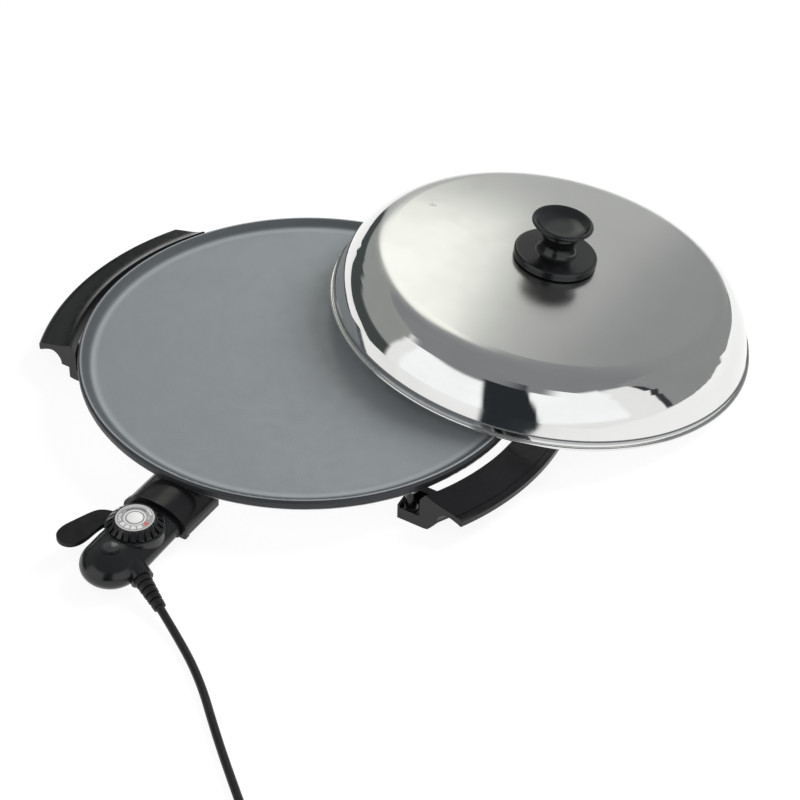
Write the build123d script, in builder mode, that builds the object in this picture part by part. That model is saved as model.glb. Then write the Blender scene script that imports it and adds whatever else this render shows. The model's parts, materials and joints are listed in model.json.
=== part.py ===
from build123d import *
import math
import os

# Electric crepe maker: a round cast plate on two moulded handles, a domed lid that leans
# on the plate's rim, and a thermostat controller that plugs into a socket under the plate.
# Millimetres. The origin is the middle of the cooking surface, +Z is up, the handles are
# at +X and -X, and the controller is at -Y.

os.makedirs("parts", exist_ok=True)

# ---------------------------------------------------------------- shared values
surface_height = 38.0          # cooking surface above the table
table_z = -surface_height
fit_gap = 0.05                 # radial, pieces pressed or cast into one another
loose_gap = 0.3                # pieces that move past one another
screw_gap = 0.1                # radial, round a screw's shank
cut_past = 1.0                 # how far a cutter, or a form that joins another, runs past a face
bend_share = 0.45              # share of the shorter run beside a bend that its arc may take


def above_table(height):
    """Height over the table as a z value."""
    return table_z + height


def across(y):
    """Plane across the appliance at depth y: its x runs to the right and its y runs up."""
    return Plane.XZ.offset(-y)


# ---------------------------------------------------------------- cooking plate
plate_radius = 200.0
plate_thickness = 5.0
rim_height = 6.0
floor_radius = 185.0           # flat cooking surface
lip_round = 3.2                # section radius of the rounded rim
lip_start_angle = 136.0        # where the inner wall runs into the rim's rounding
under_round = 4.5              # rounding between rim and underside
plate_bottom_z = -plate_thickness

element_z = -13.5              # axis of the heater, the terminal pins and the probe
element_radius = 4.0
element_ring_radius = 120.0
element_bend = 16.0
leg_x = 12.0
ridge_width = 16.0
ridge_bottom_z = -19.5
ridge_round = 3.0
block_half_width = 28.0
block_end_y = -180.0
block_start_y = -116.0
flange_bottom_z = -24.0        # deeper end of the block, which takes the shroud's screws
flange_length = 16.0
probe_radius = 3.0
probe_bore_end_y = -124.0
probe_tip_y = -138.0

handle_half_length = 102.5
post_x = 164.0
post_inset = 9.0               # posts stand this far in from the handles' ends
post_y = handle_half_length - post_inset
post_boss_radius = 7.0
post_boss_bottom_z = -8.0
spigot_radius = 2.5
spigot_depth = 2.5
post_places = [(sx * post_x, sy * post_y) for sx in (-1, 1) for sy in (-1, 1)]

# ---------------------------------------------------------------- socket shroud
shroud_half_width = 31.0
shroud_base_z = above_table(11.0)
shroud_spring_z = -20.0        # where the straight sides turn into the domed top
shroud_crown = 18.8
shroud_corner = 3.0
inner_corner = 0.8
shroud_wall = 3.5
shroud_mouth_y = -228.0
mouth_lip = 0.8
mouth_lip_length = 3.5
bracket_thickness = 1.5
bracket_inset = 1.0
bracket_top_z = plate_bottom_z - 1.0
bracket_front_y = block_end_y - bracket_thickness
shroud_back_wall = 3.5
shroud_floor_y = bracket_front_y - shroud_back_wall
plate_clearance = 0.7
rear_ceiling_z = -7.7          # lower ceiling behind the plug-in room, under the plate
rear_room_y = -206.0
shroud_screw_x = 20.0
shroud_screw_z = -18.5
m4_radius = 2.0
m4_head_radius = 3.5
m4_head_height = 2.6
shroud_screw_depth = 12.0

# ---------------------------------------------------------------- heater terminals
leg_end_y = bracket_front_y - 1.5
bead_radius = 4.5
bead_length = 5.0
pin_radius = 2.5
pin_end_y = -221.0
pin_nose = 1.2
earth_z = -19.0
earth_half_width = 4.0
earth_thickness = 1.2
earth_end_y = -215.0

# ---------------------------------------------------------------- handles
handle_sweep = 70.0            # degrees, wide enough to be trimmed to the handle's length
web_inner_radius = 204.5
web_thickness = 14.5
web_outer_radius = web_inner_radius + web_thickness
web_bottom_z = above_table(12.0)
web_top_z = above_table(30.0)
ledge_radius = 209.4
ledge_z = above_table(37.0)
ledge_ease = (0.6, 0.3)        # inward and down to the ledge's inner corner
ledge_fall = (0.9, 0.5)        # outward and down to the start of the grip's top curve
grip_reach = 21.3
grip_tip_radius = web_outer_radius + grip_reach
grip_tip_top_z = above_table(26.5)
grip_tip_bottom_z = above_table(18.8)
grip_tip_ease = (1.5, 1.0)     # bevels of the tip's top and bottom corners
grip_top_curve = [(0.265, 0.4), (0.667, 0.752)]     # shares of the way out and down to the tip
grip_under_curve = [(0.657, 1.515), (0.329, 1.706), (0.094, 1.118)]   # shares out from the web and up
grip_line = (5.3, 1.2)         # fine groove, in from the tip and up from its top corner
grip_line_width = 0.8
grip_line_depth = 0.5
foot_inner_x = 155.8
foot_flat_end_x = 180.0
foot_rise_x = 194.0
foot_length = 26.5
foot_front_height = 14.4
foot_back_height = 20.0
pocket_x = (157.8, 177.0)
pocket_margin = 2.5
pocket_length = 18.0
pocket_y = (-handle_half_length + pocket_margin, -handle_half_length + pocket_margin + pocket_length)
pocket_floor_z = above_table(8.0)
pocket_front_z = above_table(11.5)

washer_radius = 6.0
washer_thickness = 1.5
post_radius = 5.25
post_foot_radius = 4.5
post_foot_chamfer = 0.6
m5_radius = 2.5
m5_head_radius = 4.4
m5_head_height = 3.0
screw_recess_radius = 5.2
screw_recess_depth = 4.0
handle_screw_grip = 12.0       # length of thread inside the post

# ---------------------------------------------------------------- lid
sheet = 0.8
lid_bead_radius = 1.5
lid_radius = 192.6
lid_bead_centre = lid_radius - lid_bead_radius
lid_band_step = 2.2
lid_band_radius = lid_radius - lid_band_step
lid_band_top = 8.0
lid_skirt_foot = (lid_radius - 3.6, 8.6)
lid_skirt_waist = (lid_radius - 10.4, 31.5)
lid_skirt_head = (lid_radius - 36.0, 62.0)
waist_round = 60.0
shoulder_round = 34.0
lid_cap_radius = 1400.0
lid_apex = 64.6
knob_seat_radius = 18.0
vent_distance = 130.0
vent_bearing = 177.0
vent_hole_radius = 1.6

lean_bearing = 49.66           # compass direction, from +X towards +Y, in which the lid leans
chord_distance = 117.0         # plate axis to the line between the lid's two rests on the rim
rest_gap = 0.12                # air left between the lid and what carries it

guard_radius = 37.5
guard_hub_radius = 16.0
guard_hub_height = 2.0
guard_top = 72.7
guard_edge_round = 2.2
guard_skirt = 3.0
guard_skirt_drop = 1.0
knob_top = 104.0
knob_base_radius = 19.0
knob_neck_radius = 14.5
knob_cup_radius = 27.5
knob_dish_depth = 6.5
knob_rim = 2.6
knob_rim_bulge = 0.2
knob_flank = [(0.6, 5.0), (0.0, 11.0), (3.0, 18.5)]     # outwards from the neck, up from the guard
knob_flank_ends = ((-1, 0.25), (1, 0.45))
knob_dish_ends = ((-1, -0.3), (-1, 0))
knob_bore_depth = 18.0
knob_washer_radius = 8.0
knob_washer_thickness = 1.0

# ---------------------------------------------------------------- controller housing
wall = 2.5
split_z = above_table(19.0)
nose_gap = 0.5
nose_wall = 2.0
nose_front_y = -207.0
pod_front_y = shroud_mouth_y - 0.5
pod_front_half_width = 26.5
pod_front_half_height = 13.5
pod_front_z = above_table(19.5)
bulb_y = -287.0
bulb_radius = 26.0
bulb_half_height = 16.0
bulb_z = above_table(17.0)
dial_y = -253.5
turret_radius = 25.0
turret_base_z = above_table(20.0)
turret_top_z = above_table(33.1)
turret_edge = 2.0
lens_y = -285.5
lens_radius = 6.65
lens_bezel_radius = 8.0
lens_seat_z = above_table(33.3)
lens_proud = 2.0
lens_stem_radius = 4.4
lens_stem_length = 9.0
lamp_radius = 2.7
lamp_length = 13.0

case_screw_places = [(-13.0, -298.0), (13.0, -298.0), (17.0, -240.0)]
case_post_radius = 3.5
case_screw_radius = 1.45
case_head_radius = 2.7
case_head_height = 2.0
case_seat_z = above_table(11.0)
case_screw_top_z = above_table(25.0)

# ---------------------------------------------------------------- dial
dial_base_radius = 23.0
dial_face_radius = 16.9
dial_base_z = turret_top_z + loose_gap
dial_skirt = 1.4
dial_top_z = above_table(40.0)
dial_grooves = 22
dial_groove_radius = 1.1
dial_groove_depth = 2.4        # at the foot of the flank; the grooves run out below the face
dial_groove_reach = 0.72       # share of the flank's height where their middle meets it
dial_recess = 0.6
dial_floor_z = dial_top_z - dial_recess
spindle_top_z = dial_floor_z - dial_recess
dial_plate_radius = 15.9
dial_plate_thickness = 0.5
dial_cap_radius = 6.6
dial_cap_height = 1.4
spindle_radius = 3.0
spindle_collar_radius = 4.5
spindle_collar_height = 1.5

# ---------------------------------------------------------------- release lever
lever_pivot = (-17.5, -250.0)
lever_bottom_z = above_table(21.5)
lever_thickness = 4.0
lever_pin_radius = 1.5
lever_pin_reach = (5.0, 3.0)    # below and above the lever
lever_spring_wire = 1.1
lever_post_radius = 3.5
lever_slot_y = (-270.0, -241.5)
lever_slot_x = (-40.0, -12.0)
lever_root = [(-24.8, -257.5), (-13.0, -252.0), (-13.0, -245.6), (-22.0, -243.2)]
lever_blade = [(-33.5, -245.4), (-40.4, -249.3), (-45.0, -257.0), (-50.2, -270.5), (-53.6, -283.5),
               (-51.0, -292.2), (-42.5, -296.2), (-34.0, -293.0), (-29.9, -285.5), (-28.2, -271.0)]
lever_corner = 2.4

# ---------------------------------------------------------------- inside the controller
socket_bore = pin_radius + loose_gap
socket_radius = 3.6
socket_y = (-236.0, -210.0)
block_y = (-234.0, -222.0)
block_inset = 0.15
probe_collar_radius = 3.85
probe_collar_length = 1.5
probe_nose = 2.4
probe_end_y = -240.0
clip_leaf = 0.6
clip_y = (-236.0, -210.5)
clip_half_width = 3.5
stack_half_width = 5.0
stack_y = (-275.0, -267.0)
frame_half_width = 8.0
frame_y = (-276.0, -241.0)
frame_bottom_z = above_table(9.0)
frame_thickness = 1.2
frame_pillar_radius = 3.0
frame_pillar_places = [(0.0, -244.5), (0.0, -271.0)]
spacer_heights = (2.8, 2.0, 1.8)
bimetal_thickness = 0.6
bimetal_tip_y = -244.0
blade_thickness = 0.5
blade_tip_y = -246.5
blade_half_width = 3.5
contact_radius = 1.5
contact_y = -248.8

# ---------------------------------------------------------------- cord and plug
cord_radius = 3.5
cord_gap = 0.1                 # radial, where the cord passes through a piece
cord_exit_place = (30.6, -287.3)
cord_exit_height = 14.4
cord_aim_place = (57.0, -300.5)
cord_aim_height = 8.0
boss_radius = 9.8
boss_inside = 14.0
relief_base_radius = 7.5
relief_tip_radius = 5.2
relief_length = 30.0
relief_neck_radius = 5.6
relief_neck_length = 5.6
relief_collar_radius = 7.4
relief_collar_length = 2.6
relief_ribs = 4
relief_groove = 2.9
relief_groove_depth = 1.5
clamp_set_back = 17.5
clamp_size = (4.0, 10.0)
clamp_z = (above_table(11.0), above_table(23.0))
clamp_post_radius = 3.5
cord_inside = 5.0              # cord starts this far behind the housing's outer face
cord_straight = 51.0           # and runs straight as far as this in front of it
cord_z = table_z + cord_radius
cord_lay = [(124.0, -342.0), (170.0, -385.0), (219.0, -427.0)]
coil_start_place = (266.0, -466.0)
coil_heading = 320.0           # direction of the cord where it joins the coil
coil_turn_radii = (42.0, 35.0)
coil_layers = 2
tie_half_angle = 7.0
tie_bearing = 235.0
tie_thickness = 0.9
tail_runs = (27.0, 27.0)
plug_radius = 18.0
plug_length = 38.0
plug_neck_radius = 5.5
plug_shoulder = (14.0, 9.0)
plug_flare = (23.0, 17.0)
plug_full = 28.0               # distance from its back at which the plug reaches its full radius
plug_edge = 1.5
plug_pin_radius = 2.4
plug_pin_spread = 9.5
plug_pin_length = 19.0
plug_pin_inside = 10.0
plug_clearance = 0.2
plug_z = table_z + plug_radius + plug_clearance

cord_exit = Vector(*cord_exit_place, above_table(cord_exit_height))
cord_aim = Vector(*cord_aim_place, above_table(cord_aim_height))
cord_way = (cord_aim - cord_exit).normalized()
coil_start = Vector(*coil_start_place, cord_z)


# ================================================================ base
def heater_path():
    """Centre line of the heater: a leg, a ring nearly all the way round, and a leg back."""
    bend_x = leg_x + element_bend
    reach = element_ring_radius + element_bend
    bend_y = -math.sqrt(reach**2 - bend_x**2)
    swing = math.degrees(math.atan2(-bend_y, bend_x))
    with BuildLine(Plane.XY.offset(element_z)) as path:
        Line((-leg_x, leg_end_y), (-leg_x, bend_y))
        CenterArc((-bend_x, bend_y), element_bend, 0, swing)
        CenterArc((0, 0), element_ring_radius, 180 + swing, -(180 + 2 * swing))
        CenterArc((bend_x, bend_y), element_bend, 180 - swing, swing)
        Line((leg_x, bend_y), (leg_x, leg_end_y))
    return path.line


def heater_tube(radius):
    """Tube of the given radius along the heater's centre line."""
    with BuildPart() as tube:
        with BuildSketch(across(leg_end_y)):
            with Locations((-leg_x, element_z)):
                Circle(radius)
        sweep(path=heater_path())
    return tube.part


def plate_section(grow):
    """Half section of the plate without its wells and bosses, drawn larger by grow."""
    with BuildSketch() as section:
        with BuildLine():
            lip = CenterArc(
                (plate_radius - lip_round, rim_height - lip_round),
                lip_round + grow, lip_start_angle, -lip_start_angle)
            under = CenterArc(
                (plate_radius - under_round, plate_bottom_z + under_round),
                under_round + grow, 0, -90)
            Line(lip @ 1, under @ 0)
            Line(under @ 1, (0, plate_bottom_z - grow))
            Line((0, plate_bottom_z - grow), (0, grow))
            Line((0, grow), (floor_radius, grow))
            TangentArc((floor_radius, grow), lip @ 0, tangent=(1, 0))
        make_face()
    return section.sketch


with BuildPart() as cooking_plate:
    with BuildSketch(Plane.XZ):
        add(plate_section(0))
    revolve(axis=Axis.Z)
    # Cast ridge that holds the heater.
    with BuildSketch(Plane.XZ) as ridge:
        with Locations((element_ring_radius, ridge_bottom_z)):
            Rectangle(
                ridge_width, plate_bottom_z - ridge_bottom_z + cut_past,
                align=(Align.CENTER, Align.MIN))
        fillet(ridge.vertices().group_by(Axis.Y)[0], ridge_round)
    revolve(axis=Axis.Z)
    with BuildSketch(Plane.XY.offset(ridge_bottom_z)):
        with Locations((0, (block_start_y + block_end_y) / 2)):
            Rectangle(2 * block_half_width, block_start_y - block_end_y)
    extrude(amount=plate_bottom_z - ridge_bottom_z + cut_past)
    with BuildSketch(Plane.XY.offset(flange_bottom_z)):
        with Locations((0, block_end_y + flange_length / 2)):
            Rectangle(2 * block_half_width, flange_length)
    extrude(amount=plate_bottom_z - flange_bottom_z + cut_past)
    with BuildSketch(Plane.XY.offset(post_boss_bottom_z)):
        with Locations(*post_places):
            Circle(post_boss_radius)
    extrude(amount=plate_bottom_z - post_boss_bottom_z + cut_past)
    # Bores for the heater, the probe, the shroud's screws and the posts' spigots.
    add(heater_tube(element_radius + fit_gap), mode=Mode.SUBTRACT)
    with BuildSketch(across(block_end_y)):
        with Locations((0, element_z)):
            Circle(probe_radius + loose_gap)
    extrude(amount=-(probe_bore_end_y - block_end_y), mode=Mode.SUBTRACT)
    with BuildSketch(across(block_end_y)):
        with Locations((-shroud_screw_x, shroud_screw_z), (shroud_screw_x, shroud_screw_z)):
            Circle(m4_radius + fit_gap)
    extrude(amount=-(shroud_screw_depth + cut_past), mode=Mode.SUBTRACT)
    with BuildSketch(Plane.XY.offset(post_boss_bottom_z)):
        with Locations(*post_places):
            Circle(spigot_radius)
    extrude(amount=spigot_depth, mode=Mode.SUBTRACT)

with BuildPart() as heating_element:
    add(heater_tube(element_radius))

with BuildPart() as terminal_insulators:
    with BuildSketch(across(leg_end_y)):
        with Locations((-leg_x, element_z), (leg_x, element_z)):
            Circle(bead_radius)
            Circle(pin_radius + fit_gap, mode=Mode.SUBTRACT)
    extrude(amount=bead_length)

with BuildPart() as terminal_pins:
    with BuildSketch(across(leg_end_y)):
        with Locations((-leg_x, element_z), (leg_x, element_z)):
            Circle(pin_radius)
    extrude(amount=leg_end_y - pin_end_y)
    fillet(terminal_pins.edges().group_by(Axis.Y)[0], pin_nose)


def arch(inset):
    """Section of the shroud, drawn smaller by the inset: flat base, straight sides, domed top."""
    half_width = shroud_half_width - inset
    side = shroud_spring_z - shroud_base_z - inset
    with BuildSketch() as section:
        with Locations((0, shroud_spring_z)):
            Ellipse(half_width, shroud_crown - inset)
            Rectangle(3 * half_width, 3 * half_width, align=(Align.CENTER, Align.MAX), mode=Mode.SUBTRACT)
            Rectangle(2 * half_width, side, align=(Align.CENTER, Align.MAX))
        fillet(section.vertices().group_by(Axis.Y)[0], max(shroud_corner - inset, inner_corner))
    return section.sketch


def arch_block(inset, back_y, front_y):
    """The shroud's section, made smaller by the inset, as a block between two depths."""
    with BuildPart() as block:
        with BuildSketch(across(back_y)):
            add(arch(inset))
        extrude(amount=back_y - front_y)
    return block.part


with BuildPart() as shroud_bracket:
    with BuildSketch(across(block_end_y)):
        add(arch(bracket_inset))
        with Locations((0, bracket_top_z)):
            Rectangle(
                3 * shroud_half_width, shroud_half_width,
                align=(Align.CENTER, Align.MIN), mode=Mode.SUBTRACT)
        with Locations((-leg_x, element_z), (leg_x, element_z)):
            Circle(element_radius + screw_gap, mode=Mode.SUBTRACT)
        with Locations((0, element_z)):
            Circle(probe_radius + 2 * loose_gap, mode=Mode.SUBTRACT)
        with Locations((-shroud_screw_x, shroud_screw_z), (shroud_screw_x, shroud_screw_z)):
            Circle(m4_radius + screw_gap, mode=Mode.SUBTRACT)
    extrude(amount=bracket_thickness)

with BuildPart() as earth_blade:
    with BuildSketch(across(bracket_front_y)):
        with Locations((0, earth_z)):
            Rectangle(2 * earth_half_width, earth_thickness)
    extrude(amount=bracket_front_y - earth_end_y)
    fillet(earth_blade.edges().filter_by(Axis.Z).group_by(Axis.Y)[0], 2 * pin_nose)

with BuildPart() as socket_shroud:
    add(arch_block(0, bracket_front_y, shroud_mouth_y))
    add(arch_block(-mouth_lip, shroud_mouth_y + mouth_lip_length, shroud_mouth_y))
    add(arch_block(shroud_wall, rear_room_y, shroud_mouth_y), mode=Mode.SUBTRACT)
    with BuildSketch(across(shroud_floor_y)):
        add(arch(shroud_wall))
        with Locations((0, rear_ceiling_z)):
            Rectangle(
                3 * shroud_half_width, shroud_half_width,
                align=(Align.CENTER, Align.MIN), mode=Mode.SUBTRACT)
    extrude(amount=shroud_floor_y - rear_room_y, mode=Mode.SUBTRACT)
    # The top is hollowed to clear the plate's rim.
    with BuildSketch(Plane.XZ):
        add(plate_section(plate_clearance))
    revolve(axis=Axis.Z, mode=Mode.SUBTRACT)
    with BuildSketch(across(bracket_front_y)):
        with Locations((-leg_x, element_z), (leg_x, element_z)):
            Circle(bead_radius + loose_gap)
        with Locations((0, element_z)):
            Circle(probe_radius + 2 * loose_gap)
        with Locations((0, earth_z)):
            Rectangle(2 * (earth_half_width + loose_gap), earth_thickness + 2 * loose_gap)
        with Locations((-shroud_screw_x, shroud_screw_z), (shroud_screw_x, shroud_screw_z)):
            Circle(m4_radius + screw_gap)
    extrude(amount=shroud_back_wall, mode=Mode.SUBTRACT)

with BuildPart() as shroud_screws:
    with BuildSketch(across(shroud_floor_y)):
        with Locations((-shroud_screw_x, shroud_screw_z), (shroud_screw_x, shroud_screw_z)):
            Circle(m4_head_radius)
    extrude(amount=m4_head_height)
    fillet(shroud_screws.edges().group_by(Axis.Y)[0], m4_head_height / 3)
    with BuildSketch(across(shroud_floor_y)):
        with Locations((-shroud_screw_x, shroud_screw_z), (shroud_screw_x, shroud_screw_z)):
            Circle(m4_radius)
    extrude(amount=-(block_end_y - shroud_floor_y + shroud_screw_depth))


# ================================================================ handles
def foot():
    """Foot at the -Y end of the right handle, with the pocket that a post stands in."""
    with BuildPart() as block:
        with BuildSketch(across(-handle_half_length)):
            with BuildLine():
                Polyline(
                    (foot_rise_x, web_bottom_z), (web_outer_radius, web_bottom_z),
                    (web_outer_radius, above_table(foot_back_height)),
                    (foot_inner_x, above_table(foot_back_height)),
                    (foot_inner_x, table_z), (foot_flat_end_x, table_z))
                TangentArc((foot_flat_end_x, table_z), (foot_rise_x, web_bottom_z), tangent=(1, 0))
            make_face()
        extrude(amount=-foot_length)
        with BuildSketch(Plane.YZ.offset(foot_inner_x)):
            Polygon(
                (-handle_half_length, table_z), (-handle_half_length + foot_length, table_z),
                (-handle_half_length + foot_length, above_table(foot_back_height)),
                (-handle_half_length, above_table(foot_front_height)), align=None)
        extrude(amount=web_outer_radius - foot_inner_x, mode=Mode.INTERSECT)
        with BuildSketch(Plane.XY.offset(table_z)):
            Circle((web_inner_radius + web_outer_radius) / 2)
        extrude(amount=surface_height, mode=Mode.INTERSECT)
        with BuildSketch(Plane.XY.offset(pocket_floor_z)):
            with Locations(((pocket_x[0] + pocket_x[1]) / 2, (pocket_y[0] + pocket_y[1]) / 2)):
                Rectangle(pocket_x[1] - pocket_x[0], pocket_y[1] - pocket_y[0])
        extrude(amount=surface_height, mode=Mode.SUBTRACT)
        with BuildSketch(Plane.XY.offset(pocket_front_z)):
            with Locations(((pocket_x[0] + pocket_x[1]) / 2, -handle_half_length)):
                Rectangle(pocket_x[1] - pocket_x[0], pocket_y[1] + handle_half_length)
        extrude(amount=surface_height, mode=Mode.SUBTRACT)
        with BuildSketch(Plane.XY.offset(table_z)):
            with Locations((post_x, -post_y)):
                Circle(screw_recess_radius)
        extrude(amount=screw_recess_depth, mode=Mode.SUBTRACT)
        with BuildSketch(Plane.XY.offset(table_z)):
            with Locations((post_x, -post_y)):
                Circle(m5_radius + screw_gap)
        extrude(amount=surface_height, mode=Mode.SUBTRACT)
    return block.part


with BuildPart() as handle_right:
    ledge_corner = (ledge_radius - ledge_ease[0], ledge_z - ledge_ease[1])
    top_start = (ledge_radius + ledge_fall[0], ledge_z - ledge_fall[1])
    top_end = (grip_tip_radius - grip_tip_ease[0], grip_tip_top_z)
    under_start = (grip_tip_radius - grip_tip_ease[1], grip_tip_bottom_z)
    top_points = [
        (ledge_radius + out * (grip_tip_radius - ledge_radius), ledge_z + down * (grip_tip_top_z - ledge_z))
        for out, down in grip_top_curve]
    under_points = [
        (web_outer_radius + out * grip_reach, web_bottom_z + up * (grip_tip_bottom_z - web_bottom_z))
        for out, up in grip_under_curve]
    with BuildSketch(Plane.XZ.rotated((0, 0, -handle_sweep / 2))):
        with BuildLine():
            Polyline(
                (web_outer_radius, web_bottom_z), (web_inner_radius, web_bottom_z),
                (web_inner_radius, web_top_z), ledge_corner, (ledge_radius, ledge_z), top_start)
            Spline(top_start, *top_points, top_end)
            Polyline(
                top_end, (grip_tip_radius, grip_tip_top_z - grip_tip_ease[0]),
                (grip_tip_radius, grip_tip_bottom_z + grip_tip_ease[1]), under_start)
            Spline(under_start, *under_points, (web_outer_radius, web_bottom_z))
        make_face()
        with Locations((grip_tip_radius - grip_line[0], grip_tip_top_z + grip_line[1])):
            Rectangle(grip_line_width, 2 * grip_line_depth, mode=Mode.SUBTRACT)
    revolve(axis=Axis.Z, revolution_arc=handle_sweep)
    with BuildSketch(Plane.XY.offset(table_z)):
        with Locations((web_inner_radius, 0)):
            Rectangle(2 * plate_radius, 2 * handle_half_length)
    extrude(amount=2 * surface_height, mode=Mode.INTERSECT)
    add(foot())
    add(mirror(foot(), about=Plane.XZ))

with BuildPart() as handle_left:
    add(mirror(handle_right.part, about=Plane.YZ))

with BuildPart() as handle_washers:
    with BuildSketch(Plane.XY.offset(pocket_floor_z)):
        with Locations(*post_places):
            Circle(washer_radius)
            Circle(m5_radius + screw_gap, mode=Mode.SUBTRACT)
    extrude(amount=washer_thickness)

post_foot_z = pocket_floor_z + washer_thickness
post_waist_z = (post_foot_z + post_boss_bottom_z) / 2
screw_top_z = post_foot_z + handle_screw_grip

with BuildPart() as one_post:
    with BuildSketch(Plane.XZ):
        Polygon(
            (0, post_foot_z), (post_foot_radius - post_foot_chamfer, post_foot_z),
            (post_foot_radius, post_foot_z + post_foot_chamfer), (post_radius, post_waist_z),
            (post_radius, post_boss_bottom_z), (spigot_radius - fit_gap, post_boss_bottom_z),
            (spigot_radius - fit_gap, post_boss_bottom_z + spigot_depth - 2 * fit_gap),
            (0, post_boss_bottom_z + spigot_depth - 2 * fit_gap), align=None)
        with Locations((0, post_foot_z)):
            Rectangle(
                2 * (m5_radius + fit_gap), handle_screw_grip + cut_past,
                align=(Align.CENTER, Align.MIN), mode=Mode.SUBTRACT)
    revolve(axis=Axis.Z)

with BuildPart() as handle_posts:
    with Locations(*[(x, y, 0) for x, y in post_places]):
        add(one_post.part)

with BuildPart() as handle_screws:
    with BuildSketch(Plane.XY.offset(table_z + screw_recess_depth)):
        with Locations(*post_places):
            Circle(m5_head_radius)
    extrude(amount=-m5_head_height)
    fillet(handle_screws.edges().group_by(Axis.Z)[0], m5_head_height / 3)
    with BuildSketch(Plane.XY.offset(table_z + screw_recess_depth)):
        with Locations(*post_places):
            Circle(m5_radius)
    extrude(amount=screw_top_z - table_z - screw_recess_depth)


# ================================================================ lid
# The lid leans: its far edge is on the table and its near edge rests on the plate's rim at
# two points, the ends of a chord. The slope follows from the rim's height.
half_chord = math.sqrt(plate_radius**2 - chord_distance**2)
chord_to_lid = math.sqrt(lid_radius**2 - half_chord**2)
lean = math.asin((surface_height + rim_height) / (chord_to_lid + lid_radius))
lean_way = Vector(math.cos(math.radians(lean_bearing)), math.sin(math.radians(lean_bearing)), 0)
lean_side = Vector(-lean_way.Y, lean_way.X, 0)
lid_axis = lean_way * math.sin(lean) + Vector(0, 0, math.cos(lean))
lid_centre = (
    lean_way * (chord_distance + chord_to_lid * math.cos(lean))
    + Vector(0, 0, rim_height - chord_to_lid * math.sin(lean) + rest_gap))
lid_section = Plane(origin=lid_centre, x_dir=lean_side, z_dir=lean_side.cross(lid_axis))
lid_turn = Axis(lid_centre, lid_axis)


def lid_plane(height, distance=0.0, bearing=0.0, tilt=0.0):
    """Plane at a height over the lid's rim and a distance from its axis, tilted outwards."""
    turn = math.radians(bearing - lean_bearing)
    out = lid_axis.cross(lean_side) * -math.cos(turn) + lean_side * math.sin(turn)
    normal = lid_axis * math.cos(tilt) + out * math.sin(tilt)
    return Plane(
        origin=lid_centre + lid_axis * height + out * distance,
        x_dir=lid_axis.cross(out), z_dir=normal)


def dome_section(inset):
    """Half section of everything under the lid's skin, drawn smaller by the inset."""
    foot = Vector(*lid_skirt_foot)
    waist = Vector(*lid_skirt_waist)
    head = Vector(*lid_skirt_head)
    inwards_low = (waist - foot).normalized().rotate(Axis.Z, 90)
    inwards_high = (head - waist).normalized().rotate(Axis.Z, 90)
    foot += inwards_low * inset
    waist += (inwards_low + inwards_high) * (inset / (1 + inwards_low.dot(inwards_high)))
    head += inwards_high * inset
    with BuildSketch() as section:
        Polygon(
            (0, 0), (foot.X, 0), (foot.X, foot.Y), (waist.X, waist.Y), (head.X, head.Y), (0, head.Y),
            align=None)
        with Locations((0, head.Y)):
            Rectangle(head.X, lid_apex - lid_skirt_head[1], align=(Align.MIN, Align.MIN))
        with Locations((0, lid_apex - lid_cap_radius)):
            Circle(lid_cap_radius - inset, mode=Mode.INTERSECT)
        fillet(section.vertices().sort_by_distance(head)[0], shoulder_round - inset)
        fillet(section.vertices().sort_by_distance(waist)[0], waist_round - inset)
        with Locations((0, seat_height - inset)):
            Rectangle(lid_radius, lid_apex, align=(Align.MIN, Align.MIN), mode=Mode.SUBTRACT)
    return section.sketch


seat_height = lid_apex - lid_cap_radius + math.sqrt(lid_cap_radius**2 - knob_seat_radius**2)
vent_height = lid_apex - lid_cap_radius + math.sqrt(lid_cap_radius**2 - vent_distance**2)
# The vent's eyelet sits square to the dome.
vent_slope = math.asin(vent_distance / lid_cap_radius)
vent_seat = lid_plane(vent_height, vent_distance, vent_bearing, vent_slope)

with BuildPart() as lid_dome:
    with BuildSketch(lid_section):
        add(dome_section(0))
        add(dome_section(sheet), mode=Mode.SUBTRACT)
        with Locations((lid_radius, 0)):
            Rectangle(lid_radius, 2 * lid_band_top, align=(Align.CENTER, Align.CENTER), mode=Mode.SUBTRACT)
        Polygon(
            (lid_skirt_foot[0], lid_skirt_foot[1]), (lid_band_radius, lid_band_top),
            (lid_band_radius, lid_bead_radius), (lid_band_radius - sheet, lid_bead_radius),
            (lid_band_radius - sheet, lid_band_top - sheet / 2),
            (lid_skirt_foot[0] - sheet, lid_skirt_foot[1] - sheet / 2),
            (lid_skirt_foot[0] - 2 * sheet, lid_skirt_foot[1] + 2 * sheet), align=None)
        with Locations((lid_bead_centre, lid_bead_radius)):
            Circle(lid_bead_radius)
    revolve(axis=lid_turn)
    with BuildSketch(vent_seat.offset(sheet)):
        Circle(vent_hole_radius + fit_gap)
    extrude(amount=-4 * sheet, mode=Mode.SUBTRACT)
    with BuildSketch(lid_plane(0)):
        Circle(m5_radius + screw_gap)
    extrude(amount=lid_apex + sheet, mode=Mode.SUBTRACT)

with BuildPart() as vent_eyelet:
    with BuildSketch(vent_seat):
        Circle(2 * vent_hole_radius)
    extrude(amount=sheet / 2)
    with BuildSketch(vent_seat):
        Circle(vent_hole_radius)
    extrude(amount=-2 * sheet)
    with BuildSketch(vent_seat.offset(sheet)):
        Circle(vent_hole_radius / 2)
    extrude(amount=-4 * sheet, mode=Mode.SUBTRACT)

guard_bottom = seat_height + guard_hub_height

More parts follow.
